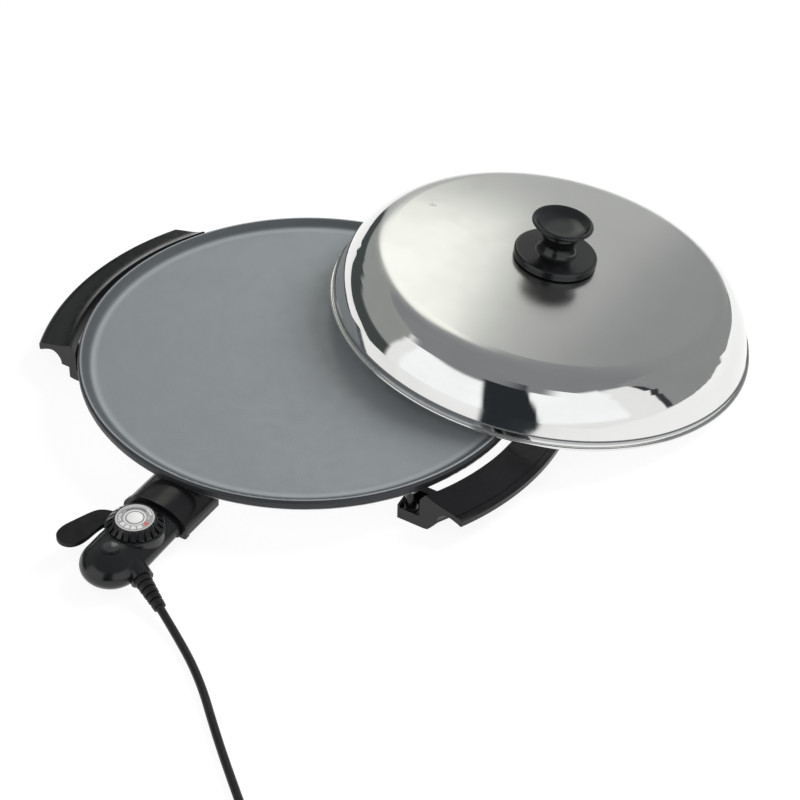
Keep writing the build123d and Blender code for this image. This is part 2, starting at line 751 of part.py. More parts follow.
with BuildPart() as knob_guard:
    with BuildSketch(lid_section) as disc:
        with BuildLine():
            Polyline(
                (0, seat_height), (guard_hub_radius, seat_height), (guard_hub_radius, guard_bottom),
                (guard_radius - guard_skirt, guard_bottom),
                (guard_radius - guard_skirt, guard_bottom - guard_skirt_drop),
                (guard_radius, guard_bottom - guard_skirt_drop), (guard_radius, guard_top),
                (0, guard_top), close=True)
        make_face()
        rim_corner = disc.vertices().sort_by_distance((guard_radius, guard_top))[0]
        fillet(rim_corner, guard_edge_round)
    revolve(axis=lid_turn)
    with BuildSketch(lid_plane(0)):
        Circle(m5_radius + screw_gap)
    extrude(amount=knob_top, mode=Mode.SUBTRACT)

with BuildPart() as lid_knob:
    with BuildSketch(lid_section):
        with BuildLine():
            Polyline((0, knob_top - knob_dish_depth), (0, guard_top), (knob_base_radius, guard_top))
            Spline(
                (knob_base_radius, guard_top),
                *[(knob_neck_radius + out, guard_top + up) for out, up in knob_flank],
                (knob_cup_radius, knob_top - knob_rim), tangents=knob_flank_ends)
            ThreePointArc(
                (knob_cup_radius, knob_top - knob_rim),
                (knob_cup_radius + knob_rim_bulge, knob_top - knob_rim / 2),
                (knob_cup_radius - knob_rim / 2, knob_top))
            Spline(
                (knob_cup_radius - knob_rim / 2, knob_top),
                (knob_cup_radius - 2 * knob_rim, knob_top - knob_rim),
                (0, knob_top - knob_dish_depth), tangents=knob_dish_ends)
        make_face()
    revolve(axis=lid_turn)
    with BuildSketch(lid_plane(0)):
        Circle(m5_radius + fit_gap)
    extrude(amount=guard_top + knob_bore_depth, mode=Mode.SUBTRACT)

dome_inside = seat_height - sheet

with BuildPart() as knob_washer:
    with BuildSketch(lid_plane(dome_inside)):
        Circle(knob_washer_radius)
        Circle(m5_radius + screw_gap, mode=Mode.SUBTRACT)
    extrude(amount=-knob_washer_thickness)

with BuildPart() as knob_screw:
    with BuildSketch(lid_plane(dome_inside - knob_washer_thickness)):
        Circle(m5_head_radius)
    extrude(amount=-m5_head_height)
    with BuildSketch(lid_plane(dome_inside - knob_washer_thickness)):
        Circle(m5_radius)
    extrude(amount=guard_top + knob_bore_depth - cut_past - dome_inside + knob_washer_thickness)


# ================================================================ controller housing
cord_side = Vector(-cord_way.Y, cord_way.X, 0).normalized()


def exit_plane(distance):
    """Plane square to the cord at a distance along it, outwards from the housing's face."""
    return Plane(origin=cord_exit + cord_way * distance, x_dir=cord_side, z_dir=cord_way)


def cord_bar(radius, start, end):
    """Round bar on the cord's axis between two distances from the housing's face."""
    with BuildPart() as bar:
        with BuildSketch(exit_plane(start)):
            Circle(radius)
        extrude(amount=end - start)
    return bar.part


def post(place, radius, bottom, top):
    """Round upright post at a place in plan."""
    with BuildPart() as upright:
        with BuildSketch(Plane.XY.offset(bottom)):
            with Locations(place):
                Circle(radius)
        extrude(amount=top - bottom)
    return upright.part


def pod(inset):
    """Controller behind its plug-in nose, drawn smaller by the inset."""
    with BuildPart() as form:
        with BuildSketch(across(pod_front_y - inset)):
            with Locations((0, pod_front_z)):
                Ellipse(pod_front_half_width - inset, pod_front_half_height - inset)
        with BuildSketch(across(bulb_y)):
            with Locations((0, bulb_z)):
                Ellipse(bulb_radius - inset, bulb_half_height - inset)
        loft()
        with BuildSketch(across(bulb_y)):
            with Locations((0, bulb_z)):
                Ellipse(bulb_radius - inset, bulb_half_height - inset)
                Rectangle(
                    2 * bulb_radius, 2 * bulb_radius,
                    align=(Align.MAX, Align.CENTER), mode=Mode.SUBTRACT)
        revolve(axis=Axis((0, bulb_y, 0), (0, 0, 1)), revolution_arc=-180)
        with BuildSketch(Plane.XY.offset(turret_base_z)):
            with Locations((0, dial_y)):
                Circle(turret_radius - inset)
        extrude(amount=turret_top_z - inset - turret_base_z)
    return form.part


def housing():
    """Whole hollow housing, before it is split into two shells."""
    nose_back_y = pod_front_y - 2 * wall
    with BuildPart() as case:
        add(pod(0))
        fillet(case.edges().filter_by(GeomType.CIRCLE).sort_by(Axis.Z)[-1], turret_edge)
        add(arch_block(shroud_wall + nose_gap, nose_front_y, nose_back_y))
        add(post((0, lens_y), lens_bezel_radius, bulb_z, lens_seat_z))
        add(pod(wall), mode=Mode.SUBTRACT)
        add(
            arch_block(shroud_wall + nose_gap + nose_wall, nose_front_y - nose_wall, nose_back_y - wall),
            mode=Mode.SUBTRACT)
        # Slot for the release lever, wide enough for its swing.
        with BuildSketch(Plane.XY.offset(lever_bottom_z - loose_gap)):
            with Locations((lever_slot_x[0], lever_slot_y[0])):
                Rectangle(
                    lever_slot_x[1] - lever_slot_x[0], lever_slot_y[1] - lever_slot_y[0],
                    align=(Align.MIN, Align.MIN))
        extrude(amount=lever_thickness + 2 * loose_gap, mode=Mode.SUBTRACT)
        # Boss and seat for the strain relief.
        add(cord_bar(boss_radius, -boss_inside, 0))
        add(cord_bar(relief_collar_radius + fit_gap, -boss_inside, -relief_neck_length), mode=Mode.SUBTRACT)
        add(cord_bar(relief_neck_radius + fit_gap, -boss_inside, cut_past), mode=Mode.SUBTRACT)
        # Posts for screws, lever, thermostat and cord clamp.
        add(housing_posts())
        # Holes through the top and the nose.
        add(post((0, dial_y), spindle_radius + loose_gap, turret_base_z, dial_base_z), mode=Mode.SUBTRACT)
        add(post((0, lens_y), lens_stem_radius + fit_gap, bulb_z, lens_seat_z), mode=Mode.SUBTRACT)
        with BuildSketch(across(nose_front_y)):
            with Locations((-leg_x, element_z), (leg_x, element_z)):
                Circle(pin_radius + 2 * loose_gap)
            with Locations((0, element_z)):
                Circle(probe_radius + fit_gap)
            with Locations((0, earth_z)):
                Rectangle(2 * (earth_half_width + 2 * loose_gap), earth_thickness + 4 * loose_gap)
        extrude(amount=nose_wall, mode=Mode.SUBTRACT)
        for place in case_screw_places:
            add(post(place, case_head_radius + fit_gap, table_z, case_seat_z), mode=Mode.SUBTRACT)
            add(post(place, case_screw_radius + fit_gap, table_z, case_screw_top_z), mode=Mode.SUBTRACT)
        add(post(lever_pivot, lever_pin_radius + fit_gap, lever_pin_z[0], lever_pin_z[1]), mode=Mode.SUBTRACT)
    return case.part


lever_pin_z = (lever_bottom_z - lever_pin_reach[0], lever_bottom_z + lever_thickness + lever_pin_reach[1])
clamp_middle = cord_exit - cord_way * clamp_set_back


def housing_posts():
    """Posts inside the housing, trimmed to end inside its walls."""
    lever_top_z = lever_bottom_z + lever_thickness
    with BuildPart() as posts:
        for place in case_screw_places:
            add(post(place, case_post_radius, table_z, 0))
        add(post(lever_pivot, lever_post_radius, table_z, lever_bottom_z - loose_gap))
        add(post(lever_pivot, lever_post_radius, lever_top_z + loose_gap, 0))
        for place in frame_pillar_places:
            add(post(place, frame_pillar_radius, table_z, frame_bottom_z))
        add(post((clamp_middle.X, clamp_middle.Y), clamp_post_radius, table_z, clamp_z[0]))
        add(pod(wall / 2), mode=Mode.INTERSECT)
    return posts.part


controller_case = housing()

# The lever's lower post belongs to the base and stands a little above the split.
with BuildPart() as lever_stub:
    add(post(lever_pivot, lever_post_radius, split_z, lever_bottom_z - loose_gap))
    add(post(lever_pivot, lever_pin_radius + fit_gap, split_z, lever_bottom_z), mode=Mode.SUBTRACT)

with BuildPart() as controller_top:
    add(controller_case)
    split(bisect_by=Plane.XY.offset(split_z), keep=Keep.TOP)
    add(post(lever_pivot, lever_post_radius + fit_gap, split_z, lever_bottom_z), mode=Mode.SUBTRACT)

with BuildPart() as controller_base:
    add(controller_case)
    split(bisect_by=Plane.XY.offset(split_z), keep=Keep.BOTTOM)
    add(lever_stub.part)

with BuildPart() as shell_screws:
    for place in case_screw_places:
        add(post(place, case_head_radius, case_seat_z - case_head_height, case_seat_z))
        add(post(place, case_screw_radius, case_seat_z, case_screw_top_z))

with BuildPart() as indicator_lens:
    with BuildSketch(across(lens_y)):
        with BuildLine():
            Polyline((0, lens_seat_z + lens_proud), (0, lens_seat_z), (lens_radius, lens_seat_z))
            Line((lens_radius, lens_seat_z), (lens_radius, lens_seat_z + lens_proud / 3))
            TangentArc(
                (0, lens_seat_z + lens_proud), (lens_radius, lens_seat_z + lens_proud / 3), tangent=(1, 0))
        make_face()
        with Locations((0, lens_seat_z - lens_stem_length)):
            Rectangle(lens_stem_radius, lens_stem_length, align=(Align.MIN, Align.MIN))
            Rectangle(
                lamp_radius + loose_gap, lens_stem_length - lens_proud,
                align=(Align.MIN, Align.MIN), mode=Mode.SUBTRACT)
    revolve(axis=Axis((0, lens_y, 0), (0, 0, 1)))

lamp_top_z = lens_seat_z - lens_proud - fit_gap

with BuildPart() as neon_lamp:
    add(post((0, lens_y), lamp_radius, lamp_top_z - lamp_length, lamp_top_z))
    fillet(neon_lamp.edges().filter_by(GeomType.CIRCLE), lamp_radius / 3)


# ================================================================ dial
def dial_groove():
    """Cutter for one finger groove, lying along the dial's sloping flank at +X."""
    rise = dial_top_z - dial_base_z - dial_skirt
    run = dial_base_radius - dial_face_radius
    low = Vector(dial_base_radius - dial_groove_depth, 0, dial_base_z)
    high = Vector(
        dial_base_radius - dial_groove_reach * run, 0,
        dial_base_z + dial_skirt + dial_groove_reach * rise)
    uphill = (high - low).normalized()
    with BuildPart() as cutter:
        with BuildSketch(Plane(origin=low - uphill * run, x_dir=(0, 1, 0), z_dir=uphill)):
            Circle(dial_groove_radius)
            Rectangle(2 * dial_groove_radius, 2 * dial_groove_depth, align=(Align.CENTER, Align.MAX))
        extrude(amount=4 * run)
    return cutter.part.moved(Location((0, dial_y, 0)))


with BuildPart() as dial_knob:
    with BuildSketch(across(dial_y)) as dial_shape:
        Polygon(
            (0, dial_base_z), (dial_base_radius, dial_base_z), (dial_base_radius, dial_base_z + dial_skirt),
            (dial_face_radius, dial_top_z), (dial_plate_radius + fit_gap, dial_top_z),
            (dial_plate_radius + fit_gap, dial_floor_z), (0, dial_floor_z), align=None)
        face_edge = dial_shape.vertices().sort_by_distance((dial_face_radius, dial_top_z))[0]
        fillet(face_edge, dial_recess)
    revolve(axis=Axis((0, dial_y, 0), (0, 0, 1)))
    for number in range(dial_grooves):
        turned = Axis((0, dial_y, 0), (0, 0, 1))
        add(dial_groove().rotate(turned, number * 360 / dial_grooves), mode=Mode.SUBTRACT)
    add(post((0, dial_y), spindle_radius + fit_gap, dial_base_z, spindle_top_z), mode=Mode.SUBTRACT)

with BuildPart() as dial_face:
    add(post((0, dial_y), dial_plate_radius, dial_floor_z, dial_floor_z + dial_plate_thickness))
    add(post((0, dial_y), dial_cap_radius + fit_gap, dial_floor_z, dial_top_z), mode=Mode.SUBTRACT)

with BuildPart() as dial_cap:
    with BuildSketch(across(dial_y)):
        with BuildLine():
            Polyline(
                (0, dial_floor_z + dial_cap_height), (0, dial_floor_z), (dial_cap_radius, dial_floor_z),
                (dial_cap_radius, dial_floor_z + dial_cap_height / 2))
            TangentArc(
                (0, dial_floor_z + dial_cap_height),
                (dial_cap_radius, dial_floor_z + dial_cap_height / 2), tangent=(1, 0))
        make_face()
    revolve(axis=Axis((0, dial_y, 0), (0, 0, 1)))

stack_top_z = frame_bottom_z + frame_thickness + sum(spacer_heights) + bimetal_thickness + blade_thickness
blade_top_z = stack_top_z - spacer_heights[2]
collar_top_z = turret_top_z - wall - loose_gap

with BuildPart() as dial_spindle:
    add(post((0, dial_y), spindle_radius, blade_top_z + loose_gap, spindle_top_z))
    add(post((0, dial_y), spindle_collar_radius, collar_top_z - spindle_collar_height, collar_top_z))


# ================================================================ release lever
with BuildPart() as release_lever:
    with BuildSketch(Plane.XY.offset(lever_bottom_z)) as paddle:
        with BuildLine():
            Polyline(*lever_root)
            Spline(lever_root[-1], *lever_blade, lever_root[0])
        make_face()
        fillet([paddle.vertices().sort_by_distance(corner)[0] for corner in lever_root[1:3]], lever_corner)
        with Locations(lever_pivot):
            Circle(lever_pin_radius + loose_gap, mode=Mode.SUBTRACT)
    extrude(amount=lever_thickness)

with BuildPart() as lever_pin:
    add(post(lever_pivot, lever_pin_radius, lever_pin_z[0], lever_pin_z[1]))


# ================================================================ inside the controller
def box_between(x, y, z):
    """Upright box between pairs of x, y and z values."""
    with BuildPart() as box:
        with BuildSketch(Plane.XY.offset(z[0])):
            with Locations(((x[0] + x[1]) / 2, (y[0] + y[1]) / 2)):
                Rectangle(x[1] - x[0], y[1] - y[0])
        extrude(amount=z[1] - z[0])
    return box.part


with BuildPart() as probe_rod:
    with BuildSketch(across(probe_tip_y)):
        with Locations((0, element_z)):
            Circle(probe_radius)
    extrude(amount=probe_tip_y - probe_end_y)
    fillet(probe_rod.edges().group_by(Axis.Y)[-1], probe_nose)
    with BuildSketch(across(block_y[1])):
        with Locations((0, element_z)):
            Circle(probe_collar_radius)
    extrude(amount=-probe_collar_length)

with BuildPart() as terminal_sockets:
    with BuildSketch(across(socket_y[1])):
        with Locations((-leg_x, element_z), (leg_x, element_z)):
            Circle(socket_radius)
    extrude(amount=socket_y[1] - socket_y[0])
    with BuildSketch(across(socket_y[1])):
        with Locations((-leg_x, element_z), (leg_x, element_z)):
            Circle(socket_bore)
    extrude(amount=socket_y[1] - pin_end_y + cut_past, mode=Mode.SUBTRACT)

clip_inner = earth_thickness / 2 + loose_gap
clip_outer = clip_inner + clip_leaf

with BuildPart() as earth_clip:
    add(
        box_between(
            (-clip_half_width, clip_half_width), clip_y, (earth_z - clip_outer, earth_z + clip_outer)))
    add(
        box_between(
            (-clip_half_width, clip_half_width), (clip_y[0] + clip_leaf, clip_y[1]),
            (earth_z - clip_inner, earth_z + clip_inner)),
        mode=Mode.SUBTRACT)

with BuildPart() as terminal_block:
    add(arch_block(shroud_wall + nose_gap + nose_wall + block_inset, block_y[1], block_y[0]))
    with BuildSketch(across(block_y[1])):
        with Locations((-leg_x, element_z), (leg_x, element_z)):
            Circle(socket_radius + fit_gap)
        with Locations((0, element_z)):
            Circle(probe_radius + fit_gap)
        with Locations((0, earth_z)):
            Rectangle(2 * (clip_half_width + fit_gap), 2 * (clip_outer + fit_gap))
    extrude(amount=block_y[1] - block_y[0], mode=Mode.SUBTRACT)

with BuildPart() as thermostat_frame:
    add(
        box_between(
            (-frame_half_width, frame_half_width), frame_y,
            (frame_bottom_z, frame_bottom_z + frame_thickness)))

spacer_z = [frame_bottom_z + frame_thickness]
for height, leaf in zip(spacer_heights, (bimetal_thickness, blade_thickness, 0)):
    spacer_z.append(spacer_z[-1] + height + leaf)

with BuildPart() as stack_spacers:
    for bottom, height in zip(spacer_z, spacer_heights):
        add(box_between((-stack_half_width, stack_half_width), stack_y, (bottom, bottom + height)))

bimetal_z = spacer_z[1] - bimetal_thickness
blade_z = spacer_z[2] - blade_thickness

with BuildPart() as bimetal_blade:
    add(
        box_between(
            (-blade_half_width, blade_half_width), (stack_y[0], bimetal_tip_y),
            (bimetal_z, bimetal_z + bimetal_thickness)))

with BuildPart() as contact_blade:
    add(
        box_between(
            (-blade_half_width, blade_half_width), (stack_y[0], blade_tip_y),
            (blade_z, blade_z + blade_thickness)))

contact_middle_z = (bimetal_z + bimetal_thickness + blade_z) / 2

with BuildPart() as contact_points:
    add(post((0, contact_y), contact_radius, bimetal_z + bimetal_thickness, contact_middle_z))
    add(post((0, contact_y), contact_radius, contact_middle_z, blade_z))

with BuildPart() as lever_spring:
    spring_top_z = lever_bottom_z - loose_gap
    add(post(lever_pivot, lever_post_radius + lever_spring_wire, split_z, spring_top_z))
    add(post(lever_pivot, lever_post_radius + fit_gap, split_z, spring_top_z), mode=Mode.SUBTRACT)


# ================================================================ cord and plug
with BuildPart() as strain_relief:
    with BuildSketch(Plane(origin=cord_exit, x_dir=cord_way, z_dir=cord_way.cross(cord_side))):
        Polygon(
            (-relief_neck_length - relief_collar_length, cord_radius + cord_gap),
            (-relief_neck_length - relief_collar_length, relief_collar_radius),
            (-relief_neck_length, relief_collar_radius), (-relief_neck_length, relief_neck_radius),
            (0, relief_neck_radius), (0, relief_base_radius), (relief_length, relief_tip_radius),
            (relief_length, cord_radius + cord_gap), align=None)
        for rib in range(relief_ribs):
            place = relief_length * (rib + 1) / (relief_ribs + 1)
            slope = (relief_base_radius - relief_tip_radius) / relief_length
            with Locations((place, relief_base_radius - slope * place)):
                Rectangle(relief_groove, 2 * relief_groove_depth, mode=Mode.SUBTRACT)
    revolve(axis=Axis(cord_exit, cord_way))

with BuildPart() as cord_clamp:
    with BuildSketch(Plane(
            origin=Vector(clamp_middle.X, clamp_middle.Y, clamp_z[0]),
            x_dir=Vector(cord_way.X, cord_way.Y, 0), z_dir=(0, 0, 1))):
        Rectangle(*clamp_size)
    extrude(amount=clamp_z[1] - clamp_z[0])
    add(cord_bar(cord_radius + cord_gap, -clamp_set_back - 2 * clamp_size[0], 0), mode=Mode.SUBTRACT)


def cord_route():
    """Points of the loose cord, from inside the strain relief to the start of the coil."""
    points = [cord_exit - cord_way * cord_inside, cord_exit + cord_way * cord_straight]
    points += [Vector(x, y, cord_z) for x, y in cord_lay]
    return points + [coil_start]


def bend_radii(points):
    """Radius of each bend, from its share of the shorter run beside it."""
    radii = []
    for before, here, after in zip(points, points[1:], points[2:]):
        run_in = here - before
        run_out = after - here
        half_turn = math.radians(run_in.get_angle(run_out)) / 2
        radii.append(bend_share * min(run_in.length, run_out.length) / math.tan(half_turn))
    return radii


def cord_tube(points):
    """Tube of the cord along straight runs and arcs through the points."""
    with BuildPart() as tube:
        with BuildLine() as centre_line:
            FilletPolyline(*points, radius=bend_radii(points))
        with BuildSketch(Plane(origin=points[0], z_dir=points[1] - points[0])):
            Circle(cord_radius)
        sweep(path=centre_line.line)
    return tube.part


coil_heading_way = Vector(math.cos(math.radians(coil_heading)), math.sin(math.radians(coil_heading)), 0)
coil_centre = coil_start + Vector(coil_heading_way.Y, -coil_heading_way.X, 0) * max(coil_turn_radii)
coil_outer = max(coil_turn_radii) + cord_radius
coil_inner = min(coil_turn_radii) - cord_radius
coil_height = 2 * cord_radius * coil_layers


def coil_ring(outer, inner, bottom, top):
    """Ring about the coil's axis."""
    with BuildPart() as ring:
        with BuildSketch(Plane.XY.offset(bottom)):
            with Locations((coil_centre.X, coil_centre.Y)):
                Circle(outer)
                Circle(inner, mode=Mode.SUBTRACT)
        extrude(amount=top - bottom)
    return ring.part


def tie_wedge():
    """Wedge of the coil where the tie goes round it."""
    reach = 2 * coil_outer
    spread = reach * math.tan(math.radians(tie_half_angle))
    with BuildPart() as wedge:
        with BuildSketch(Plane(
                origin=(coil_centre.X, coil_centre.Y, table_z),
                x_dir=Vector(1, 0, 0).rotate(Axis.Z, tie_bearing), z_dir=(0, 0, 1))):
            Polygon((0, 0), (reach, -spread), (reach, spread), align=None)
        extrude(amount=2 * coil_height)
    return wedge.part


with BuildPart() as cord:
    add(cord_tube(cord_route()))

with BuildPart() as tie_groove:
    add(coil_ring(coil_outer, coil_inner, table_z, table_z + tie_thickness))
    add(tie_wedge(), mode=Mode.INTERSECT)

with BuildPart() as cord_coil:
    add(coil_ring(coil_outer, coil_inner, table_z, table_z + coil_height))
    add(tie_groove.part, mode=Mode.SUBTRACT)

with BuildPart() as coil_tie:
    add(
        coil_ring(
            coil_outer + tie_thickness, coil_inner - tie_thickness,
            table_z, table_z + coil_height + tie_thickness))
    add(
        coil_ring(coil_outer, coil_inner, table_z + tie_thickness, table_z + coil_height),
        mode=Mode.SUBTRACT)
    add(tie_wedge(), mode=Mode.INTERSECT)

tail_start = Vector(coil_start.X, coil_start.Y, coil_start.Z + 2 * cord_radius * (coil_layers - 1))
tail_rise = Vector(0, 0, plug_z - tail_start.Z)
tail_middle = tail_start + coil_heading_way * tail_runs[0] + tail_rise
plug_back = tail_middle + coil_heading_way * tail_runs[1]
plug_side = Vector(-coil_heading_way.Y, coil_heading_way.X, 0)

with BuildPart() as cord_tail:
    add(cord_tube([tail_start, tail_middle, plug_back]))

with BuildPart() as plug_form:
    with BuildSketch(Plane(
            origin=plug_back, x_dir=coil_heading_way, z_dir=coil_heading_way.cross(Vector(0, 0, 1)))):
        with BuildLine():
            Polyline((0, 0), (0, plug_neck_radius), plug_shoulder, plug_flare)
            Polyline(
                plug_flare, (plug_full, plug_radius), (plug_length - plug_edge, plug_radius),
                (plug_length, plug_radius - plug_edge), (plug_length, 0), (0, 0))
        make_face()
    revolve(axis=Axis(plug_back, coil_heading_way))

plug_front = plug_back + coil_heading_way * (plug_length - plug_pin_inside)


def plug_pin_holes(radius, length):
    """Pair of round bars at the plug's pins."""
    with BuildPart() as bars:
        with BuildSketch(Plane(origin=plug_front, x_dir=plug_side, z_dir=coil_heading_way)):
            with Locations((-plug_pin_spread, 0), (plug_pin_spread, 0)):
                Circle(radius)
        extrude(amount=length)
    return bars.part


with BuildPart() as plug_pins:
    add(plug_pin_holes(plug_pin_radius, plug_pin_inside + plug_pin_length))

with BuildPart() as plug_moulding:
    add(plug_form.part)
    add(plug_pin_holes(plug_pin_radius + fit_gap, plug_pin_inside + cut_past), mode=Mode.SUBTRACT)


# ================================================================ export
sub_parts = {
    "cooking_plate": cooking_plate, "heating_element": heating_element,
    "terminal_insulators": terminal_insulators, "terminal_pins": terminal_pins,
    "shroud_bracket": shroud_bracket, "socket_shroud": socket_shroud, "shroud_screws": shroud_screws,
    "earth_blade": earth_blade, "handle_left": handle_left, "handle_right": handle_right,
    "handle_posts": handle_posts, "handle_washers": handle_washers, "handle_screws": handle_screws,
    "lid_dome": lid_dome, "vent_eyelet": vent_eyelet, "knob_guard": knob_guard, "lid_knob": lid_knob,
    "knob_washer": knob_washer, "knob_screw": knob_screw, "controller_top": controller_top,
    "controller_base": controller_base, "shell_screws": shell_screws, "indicator_lens": indicator_lens,
    "neon_lamp": neon_lamp, "probe_rod": probe_rod, "terminal_block": terminal_block,
    "terminal_sockets": terminal_sockets, "earth_clip": earth_clip, "thermostat_frame": thermostat_frame,
    "stack_spacers": stack_spacers, "bimetal_blade": bimetal_blade, "contact_blade": contact_blade,
    "contact_points": contact_points, "lever_pin": lever_pin, "lever_spring": lever_spring,
    "cord_clamp": cord_clamp, "strain_relief": strain_relief, "cord": cord, "cord_coil": cord_coil,
    "coil_tie": coil_tie, "cord_tail": cord_tail, "plug_body": plug_moulding, "plug_pins": plug_pins,
    "dial_knob": dial_knob, "dial_face": dial_face, "dial_cap": dial_cap, "dial_spindle": dial_spindle,
    "release_lever": release_lever,
}

for name, sub_part in sub_parts.items():
    sub_part.part.label = name
    export_step(sub_part.part, f"parts/{name}.step")
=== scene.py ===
import json
import math

import bmesh
import bpy
from mathutils import Matrix, Vector


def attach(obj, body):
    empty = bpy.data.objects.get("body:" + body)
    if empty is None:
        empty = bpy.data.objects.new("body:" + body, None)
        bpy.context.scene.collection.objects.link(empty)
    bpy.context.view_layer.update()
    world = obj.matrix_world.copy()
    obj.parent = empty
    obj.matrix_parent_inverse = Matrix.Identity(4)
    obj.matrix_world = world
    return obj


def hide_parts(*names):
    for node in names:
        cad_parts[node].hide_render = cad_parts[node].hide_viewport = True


# Electric crepe maker: looks, light and camera. Metres, in the part's frame: the middle of
# the cooking surface is the origin, +Z is up, the handles are at +X and -X, and the
# controller is at -Y.

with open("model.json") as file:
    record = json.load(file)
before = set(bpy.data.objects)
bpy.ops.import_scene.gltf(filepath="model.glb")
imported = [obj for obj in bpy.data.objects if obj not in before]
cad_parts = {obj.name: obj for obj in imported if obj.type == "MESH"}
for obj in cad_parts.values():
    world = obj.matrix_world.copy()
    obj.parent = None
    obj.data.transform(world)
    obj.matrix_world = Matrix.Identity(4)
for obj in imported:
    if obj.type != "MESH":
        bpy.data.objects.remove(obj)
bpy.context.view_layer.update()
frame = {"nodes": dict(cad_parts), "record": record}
NODES = frame["nodes"]

TABLE_Z = -0.038
FULL_TURN = 360                # degrees


def add_object(name, data):
    """A new object in the scene."""
    added = bpy.data.objects.new(name, data)
    bpy.context.scene.collection.objects.link(added)
    return added


def add_mesh(name, shape, material):
    """A new object of a finished bmesh in one material."""
    data = bpy.data.meshes.new(name)
    shape.to_mesh(data)
    shape.free()
    data.materials.append(material)
    return add_object(name, data)


# ---------------------------------------------------------------- camera
CAMERA_TARGET = Vector((0.1054, -0.0166, 0.0060))
CAMERA_DISTANCE = 1.963
CAMERA_BEARING = 30.456        # degrees from -Y towards +X
CAMERA_ELEVATION = 39.794
CAMERA_ROLL = 1.358
CAMERA_LENS = 103.5            # millimetres
CAMERA_SENSOR = 36             # millimetres
CAMERA_REACH = 50              # how far it sees


def add_camera():
    """Camera at its distance from the target, turned about its line of sight by the roll."""
    bearing = math.radians(CAMERA_BEARING)
    elevation = math.radians(CAMERA_ELEVATION)
    roll = math.radians(CAMERA_ROLL)
    level = Vector((math.cos(bearing), math.sin(bearing), 0))
    back = Vector((
        math.sin(bearing) * math.cos(elevation),
        -math.cos(bearing) * math.cos(elevation),
        math.sin(elevation)))
    upright = back.cross(level)
    right = level * math.cos(roll) + upright * math.sin(roll)
    up = upright * math.cos(roll) - level * math.sin(roll)
    data = bpy.data.cameras.new("camera")
    data.lens = CAMERA_LENS
    data.sensor_width = CAMERA_SENSOR
    data.clip_end = CAMERA_REACH
    camera = add_object("camera", data)
    place = Matrix((right, up, back)).transposed().to_4x4()
    place.translation = CAMERA_TARGET + back * CAMERA_DISTANCE
    camera.matrix_world = place
    bpy.context.scene.camera = camera


add_camera()


# ---------------------------------------------------------------- cord
CORD_RADIUS = 0.0035
CORD_Z = TABLE_Z + CORD_RADIUS
CORD_EXIT = Vector((0.0306, -0.2873, -0.0236))
CORD_AIM = Vector((0.0570, -0.3005, -0.0300))      # what it leaves towards
CORD_WAY = (CORD_AIM - CORD_EXIT).normalized()
CORD_INSIDE = 0.005            # how far it starts inside the controller
CORD_STRAIGHT = 0.051          # how far it runs straight, through the strain relief
CORD_LAY = [(0.124, -0.342), (0.170, -0.385), (0.219, -0.427)]     # chosen, on the table
CORD_ORDER = 3                 # of the curve through its points
CORD_BEVEL_STEPS = 5
CORD_CURVE_STEPS = 8
COIL_START = Vector((0.266, -0.466, CORD_Z))
COIL_HEADING = math.radians(320)
COIL_WAY = Vector((math.cos(COIL_HEADING), math.sin(COIL_HEADING), 0))
COIL_RADII = (0.042, 0.035)
COIL_CENTRE = COIL_START + Vector((COIL_WAY.y, -COIL_WAY.x, 0)) * COIL_RADII[0]
COIL_TURNS = 3
COIL_STEP = 15                 # degrees between points
# Degrees turned, over which the cord moves to the inner radius, climbs by its own thickness
# and moves back to the outer radius.
COIL_INWARD = (260, 360)
COIL_CLIMB = (540, 620)
COIL_OUTWARD = (800, 900)
TAIL_RUNS = (0.027, 0.027)     # up from the coil, and on into the plug
PLUG_Z = TABLE_Z + 0.0182      # the plug's axis


def smooth_share(value, start, end):
    """Share of the way from start to end, slow at both ends."""
    share = min(max((value - start) / (end - start), 0), 1)
    return share * share * (3 - 2 * share)


def coil_points():
    """Turns of the coil: from the outer radius inwards, up, and back outwards over the first."""
    points = []
    start = COIL_HEADING + math.pi / 2
    spread = 1 / math.cos(math.radians(COIL_STEP) / 2)
    for turned in range(0, COIL_TURNS * FULL_TURN + 1, COIL_STEP):
        inward = smooth_share(turned, *COIL_INWARD) - smooth_share(turned, *COIL_OUTWARD)
        radius = COIL_RADII[0] + inward * (COIL_RADII[1] - COIL_RADII[0])
        if 0 < turned < COIL_TURNS * FULL_TURN:
            radius *= spread
        height = CORD_Z + 2 * CORD_RADIUS * smooth_share(turned, *COIL_CLIMB)
        angle = start - math.radians(turned)
        points.append(Vector((
            COIL_CENTRE.x + radius * math.cos(angle),
            COIL_CENTRE.y + radius * math.sin(angle), height)))
    return points


def cord_points():
    """From the controller over the table, round the coil and up into the plug."""
    points = [CORD_EXIT - CORD_WAY * CORD_INSIDE, CORD_EXIT + CORD_WAY * CORD_STRAIGHT]
    points += [Vector((x, y, CORD_Z)) for x, y in CORD_LAY]
    points += coil_points()
    tail_middle = points[-1] + COIL_WAY * TAIL_RUNS[0]
    tail_middle.z = PLUG_Z
    return points + [tail_middle, tail_middle + COIL_WAY * TAIL_RUNS[1]]


